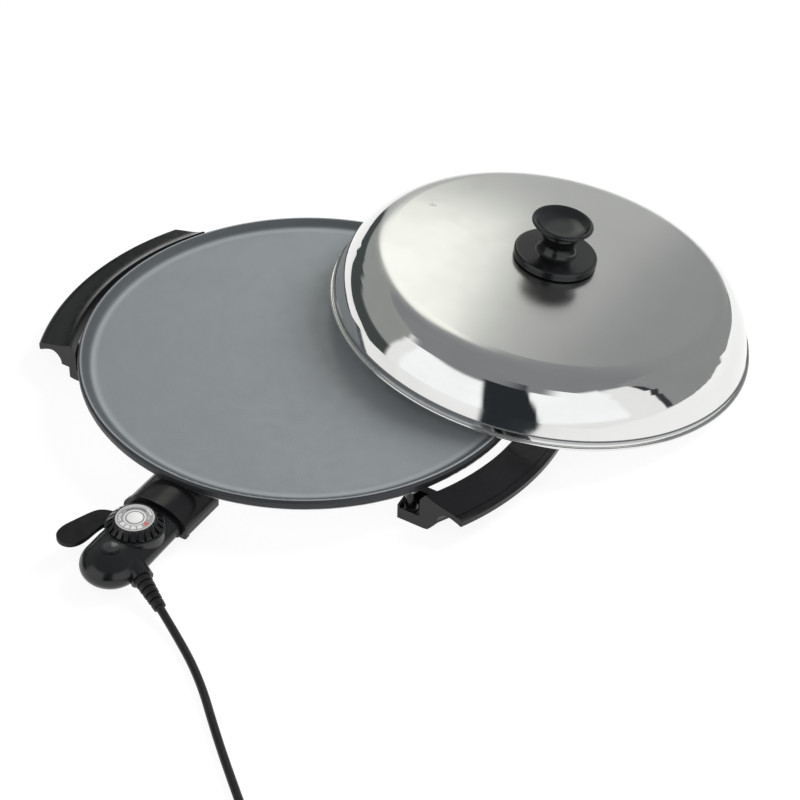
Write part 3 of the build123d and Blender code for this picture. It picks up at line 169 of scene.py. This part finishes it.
def add_cord():
    """The whole lead as one smooth curve, with its far end in the plug."""
    data = bpy.data.curves.new("power_cord", "CURVE")
    data.dimensions = "3D"
    data.bevel_depth = 1.0         # times each point's radius, which also bounds the curve's box
    data.bevel_resolution = CORD_BEVEL_STEPS
    data.resolution_u = CORD_CURVE_STEPS
    data.use_fill_caps = True
    points = cord_points()
    spline = data.splines.new("NURBS")
    spline.points.add(len(points) - 1)
    for target, point in zip(spline.points, points):
        target.co = (*point, 1)
        target.radius = CORD_RADIUS
    spline.order_u = CORD_ORDER
    spline.use_endpoint_u = True
    cord = add_object("power_cord", data)
    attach(cord, "controller")
    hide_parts("cord", "cord_coil", "cord_tail")
    return cord


power_cord = add_cord()


# ---------------------------------------------------------------- material helpers
NOISE_REACH = (0.3, 0.7)       # most of a noise's values lie between these
CLOUD_REACH = (0.35, 0.65)     # the same for clouds with more contrast


class Look:
    """A node material under construction."""

    def __init__(self, name, **sockets):
        self.material = bpy.data.materials.new(name)
        self.material.use_nodes = True
        self.tree = self.material.node_tree
        self.shader = self.tree.nodes["Principled BSDF"]
        for socket, value in sockets.items():
            self.shader.inputs[socket.replace("_", " ")].default_value = value
        self.place = self.tree.nodes.new("ShaderNodeTexCoord").outputs["Object"]

    def put(self, socket, value):
        """A link or a plain value into a socket, which for the shader may be given by name."""
        target = socket if isinstance(socket, bpy.types.NodeSocket) else self.shader.inputs[socket]
        if isinstance(value, bpy.types.NodeSocket):
            self.tree.links.new(value, target)
        else:
            target.default_value = value

    def math(self, operation, *values):
        node = self.tree.nodes.new("ShaderNodeMath")
        node.operation = operation
        for index, value in enumerate(values):
            self.put(node.inputs[index], value)
        return node.outputs[0]

    def vector(self, operation, a, b=None, output="Vector"):
        node = self.tree.nodes.new("ShaderNodeVectorMath")
        node.operation = operation
        self.put(node.inputs[0], a)
        if b is not None:
            self.put(node.inputs[3 if operation == "SCALE" else 1], b)
        return node.outputs[output]

    def noise(self, size, detail, roughness=0.55, place=None, dimensions="3D"):
        """Noise about 0.5, over features of the given size in metres."""
        node = self.tree.nodes.new("ShaderNodeTexNoise")
        node.noise_dimensions = dimensions
        if dimensions == "1D":
            self.put(node.inputs["W"], place)
        else:
            self.put(node.inputs["Vector"], place or self.place)
        node.inputs["Scale"].default_value = 1 / size
        node.inputs["Detail"].default_value = detail
        node.inputs["Roughness"].default_value = roughness
        return node.outputs["Fac"]

    def spread(self, value, low, high, to_low=0.0, to_high=1.0):
        """The value carried smoothly from one range into another."""
        node = self.tree.nodes.new("ShaderNodeMapRange")
        node.interpolation_type = "SMOOTHSTEP"
        for socket, number in zip(node.inputs[1:5], (low, high, to_low, to_high)):
            socket.default_value = number
        self.put(node.inputs[0], value)
        return node.outputs[0]

    def varied(self, size, detail, low, high):
        """A measure that varies from low to high over features of the given size."""
        return self.spread(self.noise(size, detail), *NOISE_REACH, low, high)

    def ring(self, value, comes_in, goes_out):
        """1 where the value is past the first range and not yet in the second, 0 outside them."""
        return self.math("MULTIPLY", self.spread(value, *comes_in), self.spread(value, *goes_out))

    def mix(self, share, a, b):
        """Colours a and b mixed by the share of b."""
        node = self.tree.nodes.new("ShaderNodeMix")
        node.data_type = "RGBA"
        self.put(node.inputs[0], share)
        for socket, value in ((node.inputs[6], a), (node.inputs[7], b)):
            self.put(socket, value if isinstance(value, bpy.types.NodeSocket) else (*value, 1))
        return node.outputs[2]

    def mix_measures(self, share, a, b):
        """Measures a and b mixed by the share of b."""
        node = self.tree.nodes.new("ShaderNodeMix")
        for index, value in ((0, share), (2, a), (3, b)):
            self.put(node.inputs[index], value)
        return node.outputs[0]

    def bump(self, height, depth, strength=1.0, under=None):
        """Relief of the given depth in metres for a height from 0 to 1."""
        node = self.tree.nodes.new("ShaderNodeBump")
        node.inputs["Strength"].default_value = strength
        node.inputs["Distance"].default_value = depth
        self.put(node.inputs["Height"], height)
        if under is not None:
            self.put(node.inputs["Normal"], under)
        self.put("Normal", node.outputs[0])
        return node.outputs[0]

    def place_about(self, origin, axis):
        """Height along an axis and distance from it."""
        from_origin = self.vector("SUBTRACT", self.place, origin)
        height = self.vector("DOT_PRODUCT", from_origin, axis, output="Value")
        along = self.vector("SCALE", tuple(axis), height)
        away = self.vector("SUBTRACT", from_origin, along)
        return height, self.vector("LENGTH", away, output="Value")

    def use_shader(self, shader):
        """This shader to the material's output, in place of the usual one."""
        output = self.tree.nodes["Material Output"].inputs["Surface"]
        self.tree.links.new(shader.outputs[0], output)
        self.tree.nodes.remove(self.shader)


def shaded(colour, share):
    """The colour at this share of its brightness."""
    return tuple(share * part for part in colour)


# Roughness of a surface at its smoothest and at its dullest, as shares of the stated one.
MOULDED_WEAR = (0.85, 1.2)
METAL_WEAR = (0.8, 1.3)
MOULDED_LIFT = 0.002           # added to the lighter shade, so that black varies too


def moulded(name, colour, roughness, grain=0.0004, depth=0.00002, mottle=0.25, shine=0.30):
    """Moulded plastic or rubber: fine grain, uneven gloss and a slightly uneven colour."""
    look = Look(name, Specular_IOR_Level=shine)
    lighter = tuple(min(1.0, part * (1 + mottle) + MOULDED_LIFT) for part in colour)
    darker = shaded(colour, 1 - mottle)
    look.put("Base Color", look.mix(look.noise(size=0.02, detail=4), darker, lighter))
    smoothest, dullest = (roughness * share for share in MOULDED_WEAR)
    look.put("Roughness", look.varied(size=0.008, detail=4, low=smoothest, high=dullest))
    look.bump(look.noise(size=grain, detail=2), depth)
    return look.material


def metal(name, colour, roughness, scratch=0.0006, depth=0.000004, cloud=0.08):
    """Plain metal: uneven gloss, fine scratches and a faint tint."""
    look = Look(name, Metallic=1.0)
    darker = shaded(colour, 1 - cloud)
    look.put("Base Color", look.mix(look.noise(size=0.015, detail=3), darker, colour))
    smoothest, dullest = (roughness * share for share in METAL_WEAR)
    look.put("Roughness", look.varied(size=0.004, detail=4, low=smoothest, high=dullest))
    look.bump(look.noise(size=scratch, detail=4), depth)
    return look.material


# ---------------------------------------------------------------- the plate's coating and metal
COAT_DARK = (0.235, 0.257, 0.271)
COAT_LIGHT = (0.305, 0.328, 0.343)
COAT_CLOUD = (0.30, 0.32, 0.335)
COAT_CLOUD_SHARE = 0.35
# Painted highlight for the bend from the floor to the wall and for the crest of the rim.
COAT_PAINTED_HIGHLIGHT = (0.42, 0.45, 0.47)
# Painted shade for the wall.
COAT_WALL_PAINTED_SHADE = (0.060, 0.068, 0.074)
# Painted shade for the rim's outer side.
COAT_SIDE_PAINTED_SHADE = (0.040, 0.043, 0.048)
CAST_DARK = (0.50, 0.50, 0.51)
CAST_LIGHT = (0.66, 0.66, 0.67)
COAT_METALLIC = 0.25
BARE_MORE_METALLIC = 0.7
BARE_ROUGHNESS_CHANGE = -0.06
# Rings of painted highlight and painted shade round the plate's middle: the distances over which
# one comes in and those over which it goes out again, its share and its colour.
PLATE_HIGHLIGHT_AND_SHADE_RINGS = [
    ((0.1815, 0.1855), (0.1895, 0.1870), 0.45, COAT_PAINTED_HIGHLIGHT),     # painted highlight on the bend from the floor to the wall
    ((0.1870, 0.1915), (0.1972, 0.1960), 0.80, COAT_WALL_PAINTED_SHADE),     # painted shade up the wall
    ((0.1962, 0.1970), (0.1983, 0.1977), 0.60, COAT_PAINTED_HIGHLIGHT),     # painted highlight on the crest of the rim
]
SIDE_DISTANCES = (0.1978, 0.1984)      # over which the painted shade on the rim's outer side comes in
SIDE_HEIGHTS = (0.0066, 0.0058)        # the same, from the top down
BARE_HEIGHTS = (-0.0016, -0.0026)      # over which the coating gives way to bare metal
EDGE_WANDER = 0.0006                   # of those heights, in all


def plate_look():
    """Grey non-stick coating with painted highlights on the bend from floor to wall and on the
    rim's crest, painted shade up the wall and on the rim's outer side, and bare aluminium below.
    """
    look = Look("coated_plate")
    split = look.tree.nodes.new("ShaderNodeSeparateXYZ")
    look.put(split.inputs[0], look.place)
    distance = look.vector("LENGTH", look.vector("MULTIPLY", look.place, (1, 1, 0)), output="Value")
    edge_noise = look.noise(size=0.02, detail=3)
    wander = look.math("MULTIPLY_ADD", edge_noise, EDGE_WANDER, -EDGE_WANDER / 2)
    height = look.math("ADD", split.outputs["Z"], wander)
    # Where the painted shade on the rim's outer side goes.
    outer = look.spread(distance, *SIDE_DISTANCES)
    side_painted_shade = look.math("MULTIPLY", outer, look.spread(height, *SIDE_HEIGHTS))
    bare = look.spread(height, *BARE_HEIGHTS)

    speckle = look.spread(look.noise(size=0.0009, detail=5, roughness=0.7), *NOISE_REACH)
    coat = look.mix(speckle, COAT_DARK, COAT_LIGHT)
    clouds = look.spread(look.noise(size=0.05, detail=4), *CLOUD_REACH, 0, COAT_CLOUD_SHARE)
    coat = look.mix(clouds, coat, COAT_CLOUD)
    # Painted highlights and painted shade, ring by ring.
    for comes_in, goes_out, share, colour in PLATE_HIGHLIGHT_AND_SHADE_RINGS:
        ring = look.ring(distance, comes_in, goes_out)
        coat = look.mix(look.math("MULTIPLY", ring, share), coat, colour)
    # Painted shade on the rim's outer side.
    coat = look.mix(side_painted_shade, coat, COAT_SIDE_PAINTED_SHADE)
    cast = look.mix(look.noise(size=0.003, detail=5), CAST_DARK, CAST_LIGHT)
    look.put("Base Color", look.mix(bare, coat, cast))
    look.put("Metallic", look.math("MULTIPLY_ADD", bare, BARE_MORE_METALLIC, COAT_METALLIC))
    coat_roughness = look.varied(size=0.012, detail=4, low=0.40, high=0.50)
    roughness = look.math("MULTIPLY_ADD", bare, BARE_ROUGHNESS_CHANGE, coat_roughness)
    look.put("Roughness", roughness)
    relief = look.bump(look.noise(size=0.0006, detail=3), depth=0.00003, strength=0.6)
    look.bump(look.noise(size=0.00012, detail=2), depth=0.00001, strength=0.5, under=relief)
    return look.material


# ---------------------------------------------------------------- the lid's steel
LID_CENTRE = (0.142213, 0.167455, -0.009293)   # its heights run from here along its axis
LID_AXIS = (0.096079, 0.113132, 0.988924)
SATIN_DISTANCES = (0.1612, 0.1592)     # over which the polish gives way to the satin cap
SATIN_HEIGHTS = (0.045, 0.050)
PAINTED_SHADOW_HEIGHTS = ((0.0050, 0.0060), (0.0092, 0.0082))    # of the painted shadow over the rolled edge, below the skirt
PAINTED_SHADOW_SHARE = 0.6
PAINTED_SHADOW_COLOUR = (0.22, 0.23, 0.24)
STEEL_DARK = (0.74, 0.74, 0.73)
STEEL_LIGHT = (0.80, 0.80, 0.79)


def lid_look():
    """Stainless steel: satin spun cap, mirror-polished shoulder, skirt and rim, and a painted
    shadow between the skirt and the rolled edge.
    """
    look = Look("steel_bright", Metallic=1.0)
    height, distance = look.place_about(LID_CENTRE, LID_AXIS)
    inside = look.spread(distance, *SATIN_DISTANCES)
    satin = look.math("MULTIPLY", inside, look.spread(height, *SATIN_HEIGHTS))
    steel = look.mix(look.noise(size=0.06, detail=3), STEEL_DARK, STEEL_LIGHT)
    # Painted shadow in a ring between the skirt and the rolled edge.
    painted_shadow = look.math("MULTIPLY", look.ring(height, *PAINTED_SHADOW_HEIGHTS), PAINTED_SHADOW_SHARE)
    look.put("Base Color", look.mix(painted_shadow, steel, PAINTED_SHADOW_COLOUR))
    cap_roughness = look.varied(size=0.025, detail=3, low=0.20, high=0.235)
    polish_roughness = look.varied(size=0.01, detail=3, low=0.035, high=0.055)
    look.put("Roughness", look.mix_measures(satin, polish_roughness, cap_roughness))
    look.bump(look.noise(size=0.03, detail=2), depth=0.000003, strength=0.5)
    return look.material


# ---------------------------------------------------------------- the dial
DIAL_CENTRE = (0.0, -0.2535, 0.0)
FACE_EDGE = (0.0146, 0.0149)   # distances over which the face's bright edge comes in
FACE_DARK = (0.40, 0.41, 0.41)
FACE_LIGHT = (0.48, 0.49, 0.49)
FACE_EDGE_COLOUR = (0.72, 0.72, 0.72)


def dial_face_look():
    """Silver printed plate with a bright turned edge."""
    look = Look("dial_face_print", Metallic=0.55)
    distance = look.place_about(DIAL_CENTRE, (0, 0, 1))[1]
    silver = look.mix(look.noise(size=0.002, detail=3), FACE_DARK, FACE_LIGHT)
    look.put("Base Color", look.mix(look.spread(distance, *FACE_EDGE), silver, FACE_EDGE_COLOUR))
    look.put("Roughness", look.varied(size=0.0015, detail=3, low=0.30, high=0.42))
    turning = look.noise(size=0.00015, detail=3, roughness=0.7, place=distance, dimensions="1D")
    look.bump(turning, depth=0.000004)
    return look.material


# ---------------------------------------------------------------- one material for each slot
MOULDED_SLOTS = {
    "handle_plastic": dict(
        colour=(0.0085, 0.0085, 0.0095), roughness=0.22, grain=0.0006, depth=0.000002, shine=0.38),
    "case_plastic": dict(
        colour=(0.009, 0.0095, 0.0105), roughness=0.20, grain=0.0006, depth=0.000002, shine=0.5),
    "lever_plastic": dict(
        colour=(0.0040, 0.0040, 0.0045), roughness=0.50, grain=0.0003, depth=0.00001),
    "cap_white": dict(colour=(0.92, 0.92, 0.91), roughness=0.25, depth=0.000002, mottle=0.02),
    "lens_dark": dict(colour=(0.035, 0.036, 0.040), roughness=0.08, depth=0.000001, shine=1.0),
    "lamp_glass": dict(colour=(0.75, 0.42, 0.28), roughness=0.12, depth=0.000002, mottle=0.05),
    "bead_white": dict(colour=(0.78, 0.76, 0.71), roughness=0.45, mottle=0.05),
    "cord_rubber": dict(
        colour=(0.0135, 0.0135, 0.0150), roughness=0.42, grain=0.0006, depth=0.00003),
    "tie_plastic": dict(colour=(0.020, 0.020, 0.021), roughness=0.40),
}
METAL_SLOTS = {
    "steel_plain": dict(colour=(0.55, 0.55, 0.56), roughness=0.32),
    "contact_brass": dict(colour=(0.80, 0.60, 0.30), roughness=0.28),
}
MATERIALS = {
    "coated_plate": plate_look(),
    "steel_bright": lid_look(),
    "dial_face_print": dial_face_look(),
}
for slot, traits in MOULDED_SLOTS.items():
    MATERIALS[slot] = moulded(slot, **traits)
for slot, traits in METAL_SLOTS.items():
    MATERIALS[slot] = metal(slot, **traits)

for sub_part in frame["record"]["subparts"]:
    node = NODES[sub_part["node"]]
    node.data.materials.clear()
    node.data.materials.append(MATERIALS[sub_part["material_slot"]])

power_cord.data.materials.append(MATERIALS["cord_rubber"])


# ---------------------------------------------------------------- dial print
PRINT_Z = 0.0019               # top of the dial's silver plate
PRINT_THICKNESS = 0.00004      # above and below that
PRINT_TURN = CAMERA_BEARING    # the dial is read from the front right
PRINT_STEP = 3                 # degrees of arc to a face
PRINT_LEAST_STEPS = 2
INK_DARKER = 0.92              # share of its brightness in a print's darker patches


def add_sector(mesh, inner, outer, start, end, taper=0.0):
    """Flat raised mark between two radii and two angles, narrower inwards by the taper."""
    count = max(PRINT_LEAST_STEPS, int(abs(end - start) / PRINT_STEP))
    rows = []
    for z in (PRINT_Z - PRINT_THICKNESS, PRINT_Z + PRINT_THICKNESS):
        for radius, inset in ((inner, taper), (outer, 0.0)):
            row = []
            for step in range(count + 1):
                angle = math.radians(
                    PRINT_TURN + start + inset + (end - start - 2 * inset) * step / count)
                row.append(mesh.verts.new((
                    DIAL_CENTRE[0] + radius * math.cos(angle),
                    DIAL_CENTRE[1] + radius * math.sin(angle), z)))
            rows.append(row)
    low_in, low_out, high_in, high_out = rows
    for a, b in ((low_out, low_in), (high_in, high_out), (low_in, high_in), (high_out, low_out)):
        for step in range(count):
            mesh.faces.new((a[step], b[step], b[step + 1], a[step + 1]))
    mesh.faces.new((low_in[0], low_out[0], high_out[0], high_in[0]))
    mesh.faces.new((high_in[-1], high_out[-1], low_out[-1], low_in[-1]))


def add_print(name, material, sectors):
    """All marks of one colour, which turn with the dial."""
    mesh = bmesh.new()
    for sector in sectors:
        add_sector(mesh, *sector)
    bmesh.ops.recalc_face_normals(mesh, faces=mesh.faces)
    marks = add_mesh(name, mesh, material)
    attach(marks, "dial")


def ink(name, colour):
    """Printed colour, slightly uneven and not quite dull."""
    look = Look(name)
    darker = shaded(colour, INK_DARKER)
    look.put("Base Color", look.mix(look.noise(size=0.0008, detail=3), darker, colour))
    look.put("Roughness", look.varied(size=0.0005, detail=2, low=0.4, high=0.5))
    return look.material


# A mark is its inner and outer radius, its first and last angle in degrees and, where its ends
# aren't square, its taper in degrees.
BLOCK_RADII = (0.0100, 0.0136)
BLOCK_TAPER = 0.6
WHITE_BLOCK_HALF = 9.5         # degrees
WHITE_BLOCK_ANGLES = (220, 245, 270, 295)
SCALE_RADII = (0.0103, 0.0120)
SCALE_START = 44
SCALE_STEP = 5.5
SCALE_BAR = 3
SCALE_BARS = 17

WHITE_MARKS = [(0.0079, 0.0092, 0, FULL_TURN)]
for middle in WHITE_BLOCK_ANGLES:
    start = middle - WHITE_BLOCK_HALF
    end = middle + WHITE_BLOCK_HALF
    WHITE_MARKS.append((*BLOCK_RADII, start, end, BLOCK_TAPER))
WHITE_MARKS += [(0.0134, 0.0139, 52, 136), (0.0124, 0.0138, 14, 50, 1.5)]
WHITE_MARKS += [
    (0.0116, 0.0134, 160, 166), (0.0116, 0.0134, 169, 173), (0.0116, 0.0134, 178, 186),
    (0.0111, 0.0125, 191, 198), (0.0129, 0.0138, 192, 199), (0.0107, 0.0118, 2, 7),
    (0.0107, 0.0118, -8, -3)]
DARK_MARKS = []
for index in range(SCALE_BARS):
    angle = SCALE_START + SCALE_STEP * index
    DARK_MARKS.append((*SCALE_RADII, angle, angle + SCALE_BAR))
DARK_MARKS.append((0.0074, 0.0077, 0, FULL_TURN))
RED_MARKS = [(*BLOCK_RADII, 316, 334, BLOCK_TAPER)]

add_print("dial_print_white", ink("ink_white", (0.86, 0.86, 0.86)), WHITE_MARKS)
add_print("dial_print_dark", ink("ink_dark", (0.06, 0.06, 0.065)), DARK_MARKS)
add_print("dial_print_red", ink("ink_red", (0.72, 0.16, 0.15)), RED_MARKS)


# ---------------------------------------------------------------- floor and light
FLOOR_GLOW = 0.90
FLOOR_HALF_WIDTH = 24
FLOOR_CELLS = 8
FLOOR_DROP = 0.0002            # under the lowest point of the object
FLOOR_DARK = (0.165, 0.165, 0.165)
FLOOR_LIGHT = (0.175, 0.175, 0.175)


def seen_directly(tree):
    """1 for what the camera sees, also by reflection or through glass, and 0 for other light."""
    path = tree.nodes.new("ShaderNodeLightPath")
    seen = path.outputs["Is Camera Ray"]
    for kind in ("Is Glossy Ray", "Is Transmission Ray"):
        either = tree.nodes.new("ShaderNodeMath")
        either.operation = "MAXIMUM"
        tree.links.new(seen, either.inputs[0])
        tree.links.new(path.outputs[kind], either.inputs[1])
        seen = either.outputs[0]
    return seen


def floor_look():
    """Grey that takes shadows, under a glow that makes it look nearly white."""
    look = Look("floor")
    tree = look.tree
    diffuse = tree.nodes.new("ShaderNodeBsdfDiffuse")
    grey = look.mix(look.noise(size=0.3, detail=2), FLOOR_DARK, FLOOR_LIGHT)
    look.put(diffuse.inputs["Color"], grey)
    glow = tree.nodes.new("ShaderNodeEmission")
    look.put(glow.inputs["Strength"], look.math("MULTIPLY", seen_directly(tree), FLOOR_GLOW))
    both = tree.nodes.new("ShaderNodeAddShader")
    tree.links.new(diffuse.outputs[0], both.inputs[0])
    tree.links.new(glow.outputs[0], both.inputs[1])
    look.use_shader(both)
    return look.material


def add_floor():
    """Wide table top that the object stands on."""
    mesh = bmesh.new()
    bmesh.ops.create_grid(
        mesh, x_segments=FLOOR_CELLS, y_segments=FLOOR_CELLS, size=FLOOR_HALF_WIDTH)
    floor = add_mesh("floor", mesh, floor_look())
    floor.location = (0, 0, TABLE_Z - FLOOR_DROP)


def way_to(azimuth, elevation):
    """Direction from the origin, with the azimuth from +X towards +Y, in degrees."""
    a, e = math.radians(azimuth), math.radians(elevation)
    return Vector((math.cos(a) * math.cos(e), math.sin(a) * math.cos(e), math.sin(e)))


WORLD_LIGHT = 0.32             # what the background gives as light; where it is seen it is 1
CARD_DISTANCE = 3.6            # of the first card; each next one is nearer by a step
CARD_STEP = 0.06
CARD_CELL = 4                  # degrees; a card fades out over its outermost cell
CARD_LEAST_CELLS = 4
CARD_DARKER = 0.88             # share of its brightness in a card's darker patches
# Cards that only reflections show: azimuths, elevations and colour. Polished metal shows them
# between stretches of the white background, as the walls and windows of a room.
CARDS = [
    ("card_ceiling", (0, 360), (40, 90), (0.27, 0.28, 0.29)),
    ("card_right", (10, 100), (-8, 49), (0.33, 0.34, 0.34)),
    ("card_back", (96, 134), (-8, 49), (0.52, 0.53, 0.52)),
    ("window_back", (105, 136), (20, 60), (1.36, 1.37, 1.27)),
    ("card_left", (130, 217), (-8, 49), (0.36, 0.37, 0.36)),
    ("card_left_low", (130, 217), (-8, 16), (0.07, 0.08, 0.08)),
    ("card_dark", (274, 308), (-6, 50), (0.025, 0.03, 0.035)),
    ("card_line", (10, 15), (-2, 40), (0.05, 0.05, 0.06)),
    ("window_left", (224, 278), (2, 45), (1.22, 1.24, 1.26)),
    ("window_right", (305, 354), (2, 45), (1.22, 1.24, 1.26)),
]


def add_world():
    """White behind everything that is seen or reflected, and a plain light level on the object."""
    world = bpy.data.worlds.new("studio")
    bpy.context.scene.world = world
    world.use_nodes = True
    tree = world.node_tree
    light = tree.nodes["Background"]
    light.inputs["Color"].default_value = (1, 1, 1, 1)
    strength = tree.nodes.new("ShaderNodeMapRange")
    strength.inputs["To Min"].default_value = WORLD_LIGHT
    strength.inputs["To Max"].default_value = 1.0
    tree.links.new(seen_directly(tree), strength.inputs["Value"])
    tree.links.new(strength.outputs["Result"], light.inputs["Strength"])


def card_look(name, colour):
    """A plain glow, slightly uneven, that fades to nothing with the mesh's fade."""
    look = Look(name)
    tree = look.tree
    glow = tree.nodes.new("ShaderNodeEmission")
    clouds = look.noise(size=1.0, detail=2)
    look.put(glow.inputs["Color"], look.mix(clouds, shaded(colour, CARD_DARKER), colour))
    share = tree.nodes.new("ShaderNodeAttribute")
    share.attribute_name = "fade"
    clear = tree.nodes.new("ShaderNodeBsdfTransparent")
    soft = tree.nodes.new("ShaderNodeMixShader")
    look.put(soft.inputs[0], look.spread(share.outputs["Fac"], 0.0, 1.0))
    tree.links.new(clear.outputs[0], soft.inputs[1])
    tree.links.new(glow.outputs[0], soft.inputs[2])
    look.use_shader(soft)
    return look.material


def add_card(name, azimuths, elevations, colour, distance):
    """Curved card around the object between two azimuths and two elevations, soft at its edges."""
    mesh = bmesh.new()
    fade = mesh.verts.layers.float.new("fade")
    wide, high = azimuths[1] - azimuths[0], elevations[1] - elevations[0]
    columns, rows = (max(CARD_LEAST_CELLS, round(reach / CARD_CELL)) for reach in (wide, high))
    grid = []
    for row in range(rows + 1):
        grid.append([])
        for column in range(columns + 1):
            vert = mesh.verts.new(distance * way_to(
                azimuths[0] + wide * column / columns, elevations[0] + high * row / rows))
            if wide == FULL_TURN:
                vert[fade] = float(row > 0)
            else:
                vert[fade] = float(0 < row < rows and 0 < column < columns)
            grid[-1].append(vert)
    for lower, upper in zip(grid, grid[1:]):
        for column in range(columns):
            mesh.faces.new((lower[column], lower[column + 1], upper[column + 1], upper[column]))
    card = add_mesh(name, mesh, card_look(name, colour))
    card.visible_camera = False
    card.visible_diffuse = False
    card.visible_shadow = False


# Lamps that no reflection shows: azimuth, elevation, distance, width and power.
LAMPS = [
    ("lamp_high", 58, 43, 2.2, 1.1, 38),
    ("lamp_front", -70, 50, 2.4, 1.4, 10),
]


def add_lamp(name, azimuth, elevation, distance, width, power):
    """Square lamp that points at the origin."""
    data = bpy.data.lights.new(name, "AREA")
    data.size = width
    data.energy = power
    lamp = add_object(name, data)
    away = way_to(azimuth, elevation)
    lamp.location = away * distance
    lamp.rotation_euler = away.to_track_quat("Z", "Y").to_euler()
    lamp.visible_glossy = False


add_floor()
add_world()
for index, card in enumerate(CARDS):
    add_card(*card, CARD_DISTANCE - CARD_STEP * index)
for lamp in LAMPS:
    add_lamp(*lamp)

bpy.context.scene.view_settings.view_transform = "Standard"

bpy.context.view_layer.update()
